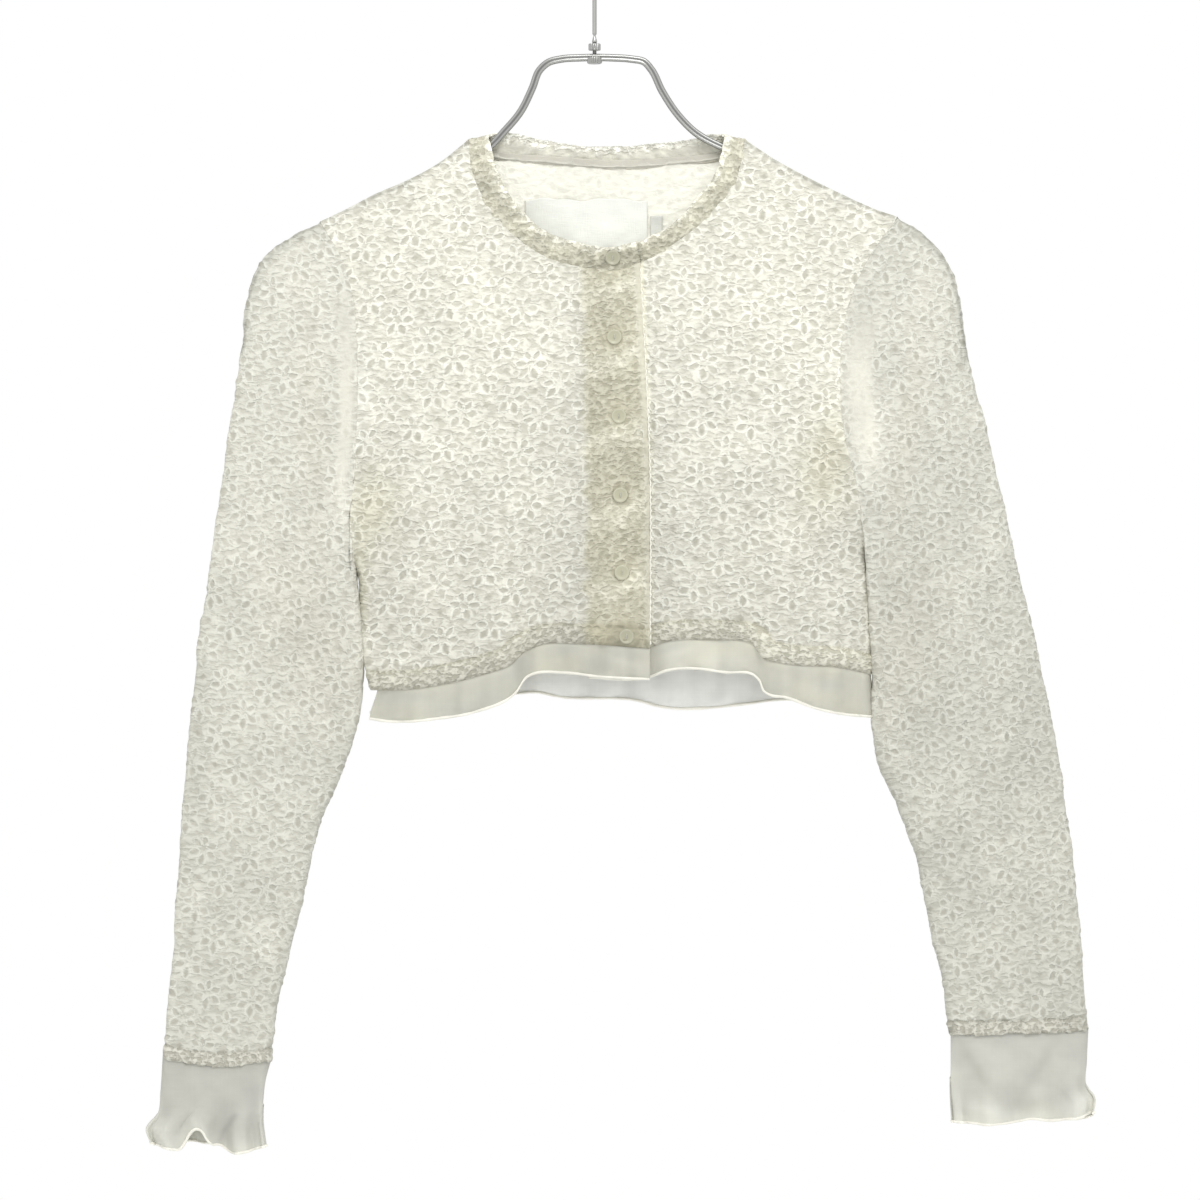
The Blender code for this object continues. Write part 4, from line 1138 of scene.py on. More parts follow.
@dataclass
class Drape:
    """How far the body's cloth stands from the middle plane as it hangs."""

    front: tuple[float, float] = (13.0, 19.0)
    back: tuple[float, float] = (12.0, 16.0)
    from_z: float = -200.0
    to_z: float = -500.0
    shoulder_round: float = 4.6
    shoulder_reach: float = 90.0
    side_round: float = 7.0
    side_reach: float = 30.0
    lap: tuple[float, float] = (3.3, 5.0)
    lap_full_x: float = 39.0
    lap_gone_x: float = 64.0
    steps_x: tuple[float, float] = (-48.0, 109.0)
    step_near: float = 5.0
    step_far: float = -3.0
    step_width: float = 6.0
    step_from_z: float = -470.0
    step_fade: float = 85.0
    front_folds: tuple[Fold, ...] = (
        Fold(-152, -232, -149, -350, 7, 2.5),
        Fold(-150, -372, -112, -408, 15, -4.5),
        Fold(136, -319, 166, -382, 14, -4.5),
        Fold(155, -260, 158, -320, 8, -2.5),
        Fold(-120, -190, -62, -300, 22, 2.5),
        Fold(132, -190, 74, -300, 22, 2.5),
        Fold(-62, -505, -70, -400, 13, 3.5),
        Fold(-100, -505, -104, -430, 13, -2.5),
        Fold(120, -505, 128, -400, 13, 3.5),
        Fold(148, -505, 150, -430, 11, -2.5),
    )
    back_folds: tuple[Fold, ...] = (
        Fold(-118, -200, -48, -320, 24, 3.0),
        Fold(134, -200, 62, -330, 24, 3.0),
        Fold(-90, -505, -84, -390, 15, 3.5),
        Fold(-30, -505, -34, -410, 14, -3.0),
        Fold(45, -505, 40, -400, 15, 3.0),
        Fold(118, -505, 110, -395, 15, 3.5),
        Fold(-148, -380, -108, -420, 14, -3.5),
        Fold(168, -370, 128, -415, 14, -3.5),
    )

    def depth(self, x: Array, z: Array, full: Array) -> Array:
        """The lesser of the depths that the shoulders' folds and the side folds allow."""
        from_shoulder = np.minimum(*(off_line(line, x, z) for line in SHOULDER.values()))
        from_side = np.minimum(*(off_line(line, x, z) for line in SIDE_SEAM.values()))
        return lesser(
            off_fold(from_shoulder, self.shoulder_round, full, self.shoulder_reach),
            off_fold(from_side, self.side_round, full, self.side_reach),
        )

    def down(self, z: Array) -> Array:
        """How far down the body a height lies, from 0 near the shoulders to 1 at the hem."""
        return np.clip((self.from_z - z) / (self.from_z - self.to_z), 0, 1)

    def front_y(self, x: Array, z: Array) -> Array:
        """The right front's middle surface."""
        inner, outer = (np.tanh((x - at) / self.step_width) for at in self.steps_x)
        outside = 1 - 0.5 * (inner - outer)
        fade = np.exp(-np.clip(z - self.step_from_z, 0, None) / self.step_fade)
        step = along(self.step_far, self.step_near, outside) * fade
        full = along(*self.front, self.down(z)) + step + folds_at(self.front_folds, x, z)
        return -SEAM / 2 - self.depth(x, z, full)

    def lapped_y(self, x: Array, z: Array) -> Array:
        """The left front's middle surface: it runs behind the right front where they lap."""
        lap = along(*self.lap, self.down(z))
        out = ramp(x, self.lap_full_x, self.lap_gone_x - self.lap_full_x)
        return self.front_y(x, z) + lap * (1 - out)

    def back_y(self, x: Array, z: Array) -> Array:
        """The back's middle surface."""
        full = along(*self.back, self.down(z)) + folds_at(self.back_folds, x, z)
        return SEAM / 2 + self.depth(x, z, full)


def tone_at(x: Array, z: Array, patches: Sequence[Patch], light: float, warm: float, pattern: Array) -> Array:
    """Light, warmth and pattern strength at each place.

    Each patch adds its light and warmth times exp(-(a / reach_x)^2 - (b / reach_z)^2), where a and b
    are the distances from its middle along its own turned axes.
    """
    total = np.full(x.shape, light)
    warmth = np.full(x.shape, warm)
    for patch in patches:
        cos, sin = math.cos(math.radians(patch.turn)), math.sin(math.radians(patch.turn))
        a, b = x - patch.x, z - patch.z
        share = spot(a * cos + b * sin, b * cos - a * sin, patch.reach_x, patch.reach_z)
        total += patch.light * share
        warmth += patch.warm * share
    return stacked(total, np.clip(warmth, 0, 1), np.broadcast_to(pattern, x.shape))


def cloth_relief(u: Array, v: Array, flowers: Array | float) -> Array:
    """The cloth's relief: puffed petals and crosswise crinkles where there are flowers, and lumps elsewhere."""
    puff = np.clip(LATTICE.petals(u, v), 0, 1) * 0.45
    fine = value_noise(u / 3.4, v / 2.3, 1) - 0.5
    broad = value_noise(u / 8.0, v / 5.5, 2) - 0.5
    lumps = value_noise(u / 4.2, v / 3.4, 3) - 0.5
    flowered = puff + 0.75 * fine + 0.8 * broad
    return flowers * flowered + (1 - flowers) * (2.0 * lumps + 1.0 * broad)


def bar_shadow(x: Array, z: Array) -> Array:
    """The painted shadow of the hanger's bar, showing through the cloth along the shoulders and the sleeves' heads:
    how strong it is at each place.
    """
    lines = [SHOULDER[side] + [row[:2] for row in SLEEVE[side][1:5]] for side in Side]
    away = np.minimum(*(distance_to(line, x, z) for line in lines))
    broken = 0.55 + 0.9 * value_noise(x / 2.7, z / 2.7, 17)
    return (bell(away - 1.3, 1.3) + 0.4 * bell(away - 5.0, 1.0)) * broken


def smooth_armholes(x: Array, z: Array, tone: Array) -> Array:
    """Cloth that is pulled smooth on the sleeve's side of each armhole, a little darker above, with a painted
    highlight below and a thin painted highlight along the seam.
    """
    for side, line in ARMHOLE.items():
        shift, reach, bright, last = (7, 5, 0.11, 350) if side is Side.RIGHT else (12, 9, 0.15, 325)
        away = distance_to(line, x - shift * side.value, z)
        near = np.exp(-((away / reach) ** 4)) * ramp(-z, 225, 50) * (1 - ramp(-z, last, 45))
        near = near * (0.7 + 0.3 * value_noise(x / 5, z / 9, 25))
        tone[..., 2] = along(tone[..., 2], 1.9, near)
        # Painted highlight along the seam and on the smooth roll beside it, which is a little darker above.
        tone[..., 0] += 0.09 * bell(distance_to(line, x, z), 1.3) * ramp(-z, 230, 30)
        tone[..., 0] += near * along(-0.03, bright, ramp(-z, 250, 55))
    return tone


@dataclass
class Body:
    """The two fronts and the back."""

    drape: Drape
    finish: bpy.types.Material
    thread: bpy.types.Material
    rows: int = 331
    front_columns: int = 161
    back_columns: int = 231
    thick: float = 0.9
    outer: float = 0.8
    hem_height: float = 12.6
    groove: float = 0.9
    edge_turned: float = 1.0
    scallop: float = 4.6
    light: float = 0.926
    repeats: dict[Side | None, Repeat] = field(
        default_factory=lambda: {
            Side.RIGHT: Repeat((31.8, 9.9), (4.8, -35.0), (-68.6, -329.4), 50),
            Side.LEFT: Repeat((32.3, -3.3), (-2.0, -36.3), (102.7, -323.7)),
            None: Repeat((31.0, 2.0), (1.5, -36.0), (8.0, -300.0)),
        }
    )
    # Painted shade in the hollows by the armholes, painted light on the ridges beside them and in the gaps where the
    # sleeves meet the sides, and a darker, warmer spot at the hem's middle.
    patches: tuple[Patch, ...] = (
        Patch(-147, -380, 18, 27, 0, -0.07, 0.35),
        Patch(152, -351, 17, 34, -14, -0.06, 0.35),
        Patch(-153, -430, 5, 40, 0, 0.03, 0.2),
        Patch(181, -440, 4, 40, 0, 0.10, 0.1),
        Patch(-154, -298, 6, 50, 0, 0.02, -0.1),
        Patch(176, -330, 6, 34, -18, 0.04, -0.1),
        Patch(18, -468, 17, 13, 0, -0.11, 0.3),
        Patch(166, -362, 9, 22, 0, -0.09, 0.1),
        Patch(-154, -242, 7, 26, 0, -0.08, 0.05),
        Patch(60, -464, 20, 8, 0, 0.04, 0.0),
    )

    def outer_edge(self, side: Side, rows: int) -> tuple[Array, int, int]:
        """A panel's outer edge from the hem up the side seam, round the armhole and in along the shoulder.

        Args:
            side: The side of the body.
            rows: How many places the edge has.

        Returns:
            The places, and the numbers of the underarm's row and of the shoulder tip's row.
        """
        lines = (SIDE_SEAM[side], ARMHOLE[side], SHOULDER[side][::-1])
        spans = [lengths(line)[-1] for line in lines]
        counts = [round((rows - 1) * span / sum(spans)) for span in spans]
        counts[1] = rows - 1 - counts[0] - counts[2]
        closer = ((), (0, 1), ())
        parts = [smooth_line(line, close_shares(n + 1, ends)) for line, n, ends in zip(lines, counts, closer)]
        return joined(*parts), counts[0], counts[0] + counts[1]

    def panel(
        self,
        bottom: Line,
        top: Line,
        left: Callable[[Array], Array],
        right_side: Side,
        columns: Array,
        depth: Callable[[Array, Array], Array],
        towards: Sequence[float],
    ) -> tuple[Array, Array]:
        """A panel's middle surface: a Coons patch between its four edges, set off by the drape's depth.

        Args:
            bottom: The hem, from the first column to the last.
            top: The neck edge, the same way.
            left: The first column's places for the rows' shares.
            right_side: The side of the body whose outer edge is the last column.
            columns: The columns' shares.
            depth: The surface's y at each x and z.
            towards: The side that the panel faces.

        Returns:
            The points and their normals.
        """
        right = self.outer_edge(right_side, self.rows)[0]
        v = lengths(right) / lengths(right)[-1]
        low, high, first = smooth_line(bottom, columns), smooth_line(top, columns), left(v)
        u, w = columns[None, :, None], v[:, None, None]
        corners = along(along(low[0], low[-1], u), along(high[0], high[-1], u), w)
        flat = along(low[None], high[None], w) + along(first[:, None], right[:, None], u) - corners
        x, z = flat[..., 0], flat[..., 1]
        points = stacked(x, depth(x, z), z)
        edges = [(-1, right_side)] if len(columns) == self.front_columns else [(0, Side.RIGHT), (-1, Side.LEFT)]
        seams = [(column, side, *self.outer_edge(side, self.rows)[1:]) for column, side in edges]
        for column, side, underarm, tip in seams:
            points[tip:, column, 1] = points[: underarm + 1, column, 1] = towards[1] * SEAM / 2
        normals = skin_normals(points, towards)
        for column, side, underarm, tip in seams:
            line = points[:, column]
            normals[:underarm, column] = level_normals(line[: underarm + 1], (side.value, 0, 0))[:-1]
            normals[underarm, column] = (0, 0, -1)
            normals[tip:, column] = level_normals(line[tip:], (0, 0, 1))
        return points, normals

    def dress(self, points: Array, normals: Array, side: Side | None) -> Cloth:
        """A panel with its relief, its stitched hem and its tones.

        Args:
            points: The middle surface.
            normals: The directions out of it.
            side: The front's side, or None for the back.

        Returns:
            The cloth's outer skin.
        """
        x, z = points[..., 0], points[..., 2]
        hem = HEM[side] if side else HEM_BACK
        patches = self.patches if side else ()
        edge = FRONT_EDGE[side] if side else None
        warp_x, warp_z = 1.0 * np.sin(z / 47 + 0.4), 1.2 * np.sin(x / 61 + 1.0) + 0.8 * np.sin(z / 33 + x / 80)
        uv = np.stack(LATTICE.place(self.repeats[side], x + warp_x, z + warp_z), axis=-1)
        above = off_line(hem, x, z)
        turned = 1 - ramp(above, self.hem_height, 1.2)
        flowers = 1 - 0.92 * turned
        stitched = bell(above - self.hem_height, 1.1)
        tone = tone_at(x, z, patches, self.light, 0.2, flowers)
        raised = 0.10 * ramp(x, 85, 20) if side is Side.LEFT else 0.0
        # The turned hem is darker where it lies double and along its stitching, with painted shade along the roll's
        # lower edge.
        tone[..., 0] -= (0.06 - raised) * turned + 0.05 * stitched + 0.08 * bell(above - 2, 3.5)
        # Painted shade: darker towards the bottom, as the light falls from above, and the painted shadow of the
        # hanger's bar.
        tone[..., 0] -= 0.11 * ramp(-z, 240, 240) + 0.28 * bar_shadow(x, z)
        tone[..., 0] -= 0.025 * ramp(x, 40, 60) * ramp(-z, 280, 160)
        tone[..., 1] += 0.16 * turned + 0.15 * stitched
        tone = smooth_armholes(x, z, tone)
        if edge is not None:
            tone = self.placket_tone(x, z, tone)
        out = cloth_relief(uv[..., 0], uv[..., 1], flowers)
        rows, columns = edge_shares(*x.shape)
        calm = soft_step(rows * x.shape[0] / 2) * soft_step((1 - rows) * x.shape[0] / 3)
        calm *= soft_step((1 - columns) * x.shape[1] / 3)
        calm *= 1 if edge is not None else soft_step(columns * x.shape[1] / 3)
        ease = 1.6 * (value_noise(x / 26, z / 31, 6) - 0.5) + 0.8 * (value_noise(x / 13, z / 15, 8) - 0.5)
        out = (out + ease) * calm + 0.7 * turned * calm - self.groove * stitched
        out = np.clip(out, -0.7, 2.2)
        # Painted light and shade from the relief: raised cloth lighter, its hollows darker.
        tone[..., 0] += 0.05 * out
        rolled = np.sqrt(1 - (1 - np.clip(above / 3.0, 0, 1)) ** 2)
        if edge is not None:
            from_edge = off_line(edge, x, z, 30)
            out -= 0.9 * np.clip(1 - from_edge / 1.2, 0, 1) ** 2
            # Painted highlight along the right front's rolled edge.
            tone[..., 0] += 0.08 * bell(from_edge, 0.7)
            tone[..., 1] -= 0.2 * bell(from_edge, 0.7)
        if side is Side.LEFT:
            # Painted light on the left front beside the right front's edge, cancelling the shadow that edge casts.
            over = off_line(FRONT_EDGE[Side.RIGHT], x, z, 30)
            tone[..., 0] += 0.22 * bell(over - 0.8, 1.6)
        cloth = Cloth(points, normals, tone, uv)
        if edge is None:
            # Painted light: the back's inside near the neck is lit brighter, most beside the neckband, where the
            # band's shadow falls.
            near_neck = ramp(z, -250, 25)
            beside = np.exp(-np.minimum(*(distance_to(line, x, z) for line in FREE.values())) / 14)
            cloth.inner_tone = tone.copy()
            cloth.inner_tone[..., 0] = along(tone[..., 0], 1.0 + 0.12 * beside, near_neck)
            cloth.inner_tone[..., 1] = along(tone[..., 1], 0.05, near_neck)
            cloth.inner_tone[..., 2] = along(tone[..., 2], 1.8, near_neck)
        return cloth.moved((self.outer + out) * (0.1 + 0.9 * rolled))

    def placket_tone(self, x: Array, z: Array, tone: Array) -> Array:
        """Darker and warmer where the fronts and their facings lie over each other. Painted highlights mark the
        slanting puffs between the buttons, and the buttons show through as dull patches, partly painted shade where
        they pull the cloth in.
        """
        left = np.interp(-z, [200, 300, 420, 470], [-7, -3.5, -3.5, -4])
        right = np.interp(-z, [200, 300, 360, 470], [25, 30, 33.5, 33.5])
        edge = np.interp(-z, [200, 300, 360, 470], [31, 35, 37, 37])
        core = soft_step((x - left + 4 + 5 * noise_along(z / 9, 19)) / 9) * (1 - ramp(x - right, -2, 4))
        strip = ramp(x - right, -1, 3) * (1 - ramp(x - edge, -1, 2))
        slanted = z - 0.3 * (x - 16) + 9 * (value_noise(x / 9, z / 12, 18) - 0.5)
        # Painted highlights on the puffs. The dull patches are the buttons showing through, with painted shade where
        # they pull the cloth in.
        bright = sum(bell(slanted - at, 7) for at in (-211, -236, -281, -333, -383, -432))
        bright = bright * (0.5 + value_noise(x / 6, z / 5, 20))
        dull = sum(np.exp(-(((x - bx) / 8) ** 2) - ((z - bz) / 10) ** 2) for bx, bz in BUTTON_PLACES)
        tone[..., 0] += core * (-0.205 + 0.07 * ramp(-z, 300, 140) + 0.17 * bright - 0.05 * dull) - 0.09 * strip
        skirt = np.where(x < 16, 0.075 * bell(np.maximum(left - x, 0), 18), 0.035 * bell(x - edge, 22))
        tone[..., 0] -= skirt * (1 - core) * (1 - strip)
        tone[..., 1] = np.clip(tone[..., 1] + core * (0.5 - 0.2 * bright + 0.2 * dull) + 0.35 * strip, 0, 1)
        smooth = np.clip(dull + np.exp(-(((x - 16) / 19) ** 2) - ((z + 466) / 16) ** 2), 0, 1) * 0.8 * core
        smooth = np.maximum(smooth, 0.75 * strip)
        tone[..., 2] = along(tone[..., 2] * (1 - 0.6 * core), 2.0, smooth)
        return tone

    def walls(self, cloth: Cloth, hem: Line, turned: bool) -> Array:
        """The cloth's thickness at each place: a little more where the hem and a front's edge are turned."""
        x, z = cloth.points[..., 0], cloth.points[..., 2]
        above = off_line(hem, x, z)
        walls = self.thick + 0.5 * (1 - ramp(above, self.hem_height, 2))
        walls[:, :3] += self.edge_turned if turned else 0
        return walls

    def front(self, side: Side) -> Cloth:
        """One front."""
        depth = self.drape.front_y if side is Side.RIGHT else self.drape.lapped_y
        edge = FRONT_EDGE[side]
        columns = close_shares(self.front_columns, (1,))
        points, normals = self.panel(
            HEM[side], NECK[side], lambda v: smooth_line(edge, v), side, columns, depth, (0, -1, 0)
        )
        return self.dress(points, normals, side)

    def back(self) -> Cloth:
        """The back."""
        right, _, _ = self.outer_edge(Side.RIGHT, self.rows)
        columns = close_shares(self.back_columns, (0, 1))
        points, normals = self.panel(
            HEM_BACK, NECK_BACK, lambda v: right, Side.LEFT, columns, self.drape.back_y, (0, 1, 0)
        )
        return self.dress(points, normals, None)

    def build(self) -> None:
        """Makes the three panels."""
        for name, cloth, hem, flat, area in (
            ("front_right", self.front(Side.RIGHT), HEM[Side.RIGHT], (0.225, 0.375), 0.061),
            ("front_left", self.front(Side.LEFT), HEM[Side.LEFT], (0.215, 0.365), 0.056),
            ("back", self.back(), HEM_BACK, (0.400, 0.375), 0.117),
        ):
            walls = self.walls(cloth, hem, name != "back")
            piece = lay(cloth, name, "cloth", walls, 2, self.finish, Slot.CLOQUE)
        self.piping()

    def piping(self) -> None:
        """A thin scalloped edge of thread along the right front's edge."""
        line = smooth_line(FRONT_EDGE[Side.RIGHT], np.linspace(0.01, 0.985, 240))
        x, z = line.T
        run = lengths(line)
        scallop = np.sin(2 * math.pi * run / self.scallop + np.sin(run / 13))
        y = self.drape.front_y(x, z) - 0.45
        path = stacked(x + 0.15 + 0.25 * scallop, y, z)
        tone = np.tile((1.0, 0.0, 0.0), (len(path), 1))
        mesh = tube_mesh("front_right_edge", path, 0.42 + 0.12 * scallop, 8, tone)
        publish(mesh, self.thread, Slot.CLOQUE)


@dataclass
class Sleeves:
    """Both sleeves: flattened tubes from the armholes to the cuffs."""

    drape: Drape
    finish: bpy.types.Material
    steps: int = 401
    across: int = 67
    thick: float = 0.9
    outer: float = 0.8
    fold_round: float = 4.6
    fold_reach: float = 30.0
    joins: float = 0.2
    sags: float = 0.8
    tucked: float = 0.5
    drop: dict[Side, float] = by_side(4.5, 0.5)
    slim: float = 1.0
    light: dict[Side, float] = by_side(0.86, 0.815)
    repeats: dict[Side, Repeat] = by_side(
        Repeat((28.9, -5.8), (-4.5, -36.8), (-210.6, -462.8)),
        Repeat((26.2, 5.3), (4.8, -36.3), (220.2, -439.2)),
    )
    folds: dict[Side, tuple[Fold, ...]] = by_side(
        (
            Fold(-166, -250, -164, -360, 7, 3.0), Fold(-205, -235, -214, -420, 12, -2.5),
            Fold(-240, -440, -205, -500, 14, -2.5), Fold(-188, -560, -232, -590, 12, 2.0),
            Fold(-262, -600, -212, -650, 12, -2.0),
        ),
        (
            Fold(170, -300, 194, -372, 9, 4.5), Fold(212, -240, 222, -420, 13, -2.5),
            Fold(268, -440, 226, -520, 14, -2.5), Fold(215, -575, 262, -600, 12, 2.0),
            Fold(308, -610, 240, -668, 12, -2.0),
        ),
    )
    # Painted light and shade on the sleeves' folds, with painted light in the gaps where they meet the body's sides.
    patches: dict[Side, tuple[Patch, ...]] = by_side(
        (
            Patch(-161, -298, 7, 56, 0, 0.02, 0.0),
            Patch(-186, -330, 9, 80, 3, -0.03, 0.1),
            Patch(-190, -460, 26, 60, 20, -0.02, 0.1),
            Patch(-154, -440, 4, 40, 0, 0.08, 0.0),
        ),
        (
            Patch(183, -338, 8, 38, -20, 0.06, 0.0),
            Patch(206, -330, 9, 70, -8, -0.03, 0.1),
            Patch(206, -470, 22, 60, -12, -0.02, 0.1),
            Patch(182, -455, 4, 45, 0, 0.10, 0.0),
            Patch(176, -242, 8, 14, 0, -0.06, 0.0),
        ),
    )

    def middle(self, side: Side) -> Cloth:
        """A sleeve's middle surface.

        At each step a cut runs from the overarm fold to the underarm seam. Its depth is the lesser of
        the depths that the two folds allow. The first ring is the armhole's own, and the tube takes
        over from it along the first fifth.
        """
        at = smooth_line(SLEEVE[side], close_shares(self.steps, ()))
        steps = close_shares(self.steps, ())
        shares = close_shares(self.across, (0, 1), 0.05)
        over_x, over_z, under_x, under_z, depth = (value[:, None] for value in at.T)
        s = shares[None]
        x = along(over_x, under_x, s)
        sag = 4 * self.drop[side] * s * (1 - s) * ramp(steps[:, None], self.sags, 1 - self.sags)
        z = along(over_z, under_z, s) - sag
        width = np.hypot(under_x - over_x, under_z - over_z)
        full = depth + folds_at(self.folds[side], x, z)
        off = lesser(
            off_fold(width * s, self.fold_round, full, self.fold_reach),
            off_fold(width * (1 - s), self.fold_round, full, self.fold_reach),
        )
        half = stacked(x, off, z)
        points = np.concatenate([half * (1, -1, 1), half[:, -2:0:-1]], axis=1)
        hole = smooth_line(ARMHOLE[side], 1 - shares)
        front_y = self.drape.front_y if side is Side.RIGHT else self.drape.lapped_y
        front = stacked(hole[:, 0], front_y(*hole.T), hole[:, 1])
        back = stacked(hole[:, 0], self.drape.back_y(*hole.T), hole[:, 1])
        ring = np.concatenate([front, back[-2:0:-1]])
        ring[[0, self.across - 1], 1] = 0
        away = unit(ring - (side.value * 60.0, 0, -320.0)) * (1, 0, 1)
        ring = ring - self.tucked * away
        fade = 1 - soft_step(steps / self.joins)
        points = points + fade[:, None, None] * (ring - points[0])
        normals = skin_normals(points, None, closed=True)
        blank = np.zeros((*points.shape[:2], 3))
        return Cloth(points, normals, blank, blank[..., :2], closed=True)

    def dress(self, side: Side) -> Cloth:
        """A sleeve's outer skin, with its relief, the stitching above its cuff and its tones."""
        cloth = self.middle(side)
        x, z = cloth.points[..., 0], cloth.points[..., 2]
        u, v = LATTICE.place(self.repeats[side], x + np.sin(z / 41 + side.value), z + np.sin(x / 23 + 2))
        u, v = u + np.where(cloth.points[..., 1] > 0, 9.0, 0.0), v + np.where(cloth.points[..., 1] > 0, 7.0, 0.0)
        cloth.uv = stacked(u, v)
        end = cloth.points[-1:]
        above = np.linalg.norm(cloth.points - end, axis=-1)
        above[:-60] = 99
        turned = 1 - ramp(above, 7.5, 1.2)
        stitched = bell(above - 7.5, 1.0)
        flowers = 1 - 0.92 * turned
        cloth.tone = tone_at(x, z, self.patches[side], self.light[side], 0.14, 1.22 * flowers)
        # Painted shade: darker towards the bottom, as the light falls from above, a little less at the very end, and
        # the painted shadow of the hanger's bar.
        cloth.tone[..., 0] -= 0.075 * ramp(-z, 260, 300) - 0.015 * ramp(-z, 540, 130) + 0.28 * bar_shadow(x, z)
        inner = distance_to([row[2:4] for row in SLEEVE[side]], x, z)
        cloth.tone[..., 0] -= 0.08 * bell(inner, 4) * ramp(-z, 500, 60)
        cloth.tone = smooth_armholes(x, z, cloth.tone)
        cloth.tone[..., 0] -= 0.04 * turned + 0.10 * stitched
        cloth.tone[..., 1] += 0.12 * turned
        rows, _ = edge_shares(*x.shape)
        calm = soft_step(rows * self.steps / 3) * (0.4 + 0.6 * soft_step((1 - rows) * self.steps / 2))
        ease = 1.8 * (value_noise(x / 24, z / 29, 4) - 0.5) + 0.9 * (value_noise(x / 12, z / 14, 5) - 0.5)
        out = (cloth_relief(u, v, flowers) + ease) * calm + 0.6 * turned * calm - 0.8 * stitched
        out = np.clip(out + 0.15 * (1 - calm), -0.7, 2.2)
        # Painted light and shade from the relief: raised cloth lighter, its hollows darker.
        cloth.tone[..., 0] += 0.05 * out
        lapped = np.clip(1 - above / 5, 0, 1)
        cloth.points = cloth.points - (0, 0, 1) * (lapped * (0.9 + 1.8 * noise_along(u / 3.1, 7)))[..., None]
        narrower = self.slim * ramp(rows, 0.03, 0.1)
        cloth.points = cloth.points - narrower[..., None] * cloth.normals * (1, 0, 1)
        return cloth.moved(self.outer + out)

    def build(self) -> dict[Side, Cloth]:
        """Makes both sleeves and returns their middle surfaces."""
        middles = {}
        for side in Side:
            middles[side] = self.middle(side)
            name = "sleeve_" + side.word
            piece = lay(self.dress(side), name, "cloth", self.thick, 2, self.finish, Slot.CLOQUE)
        return middles


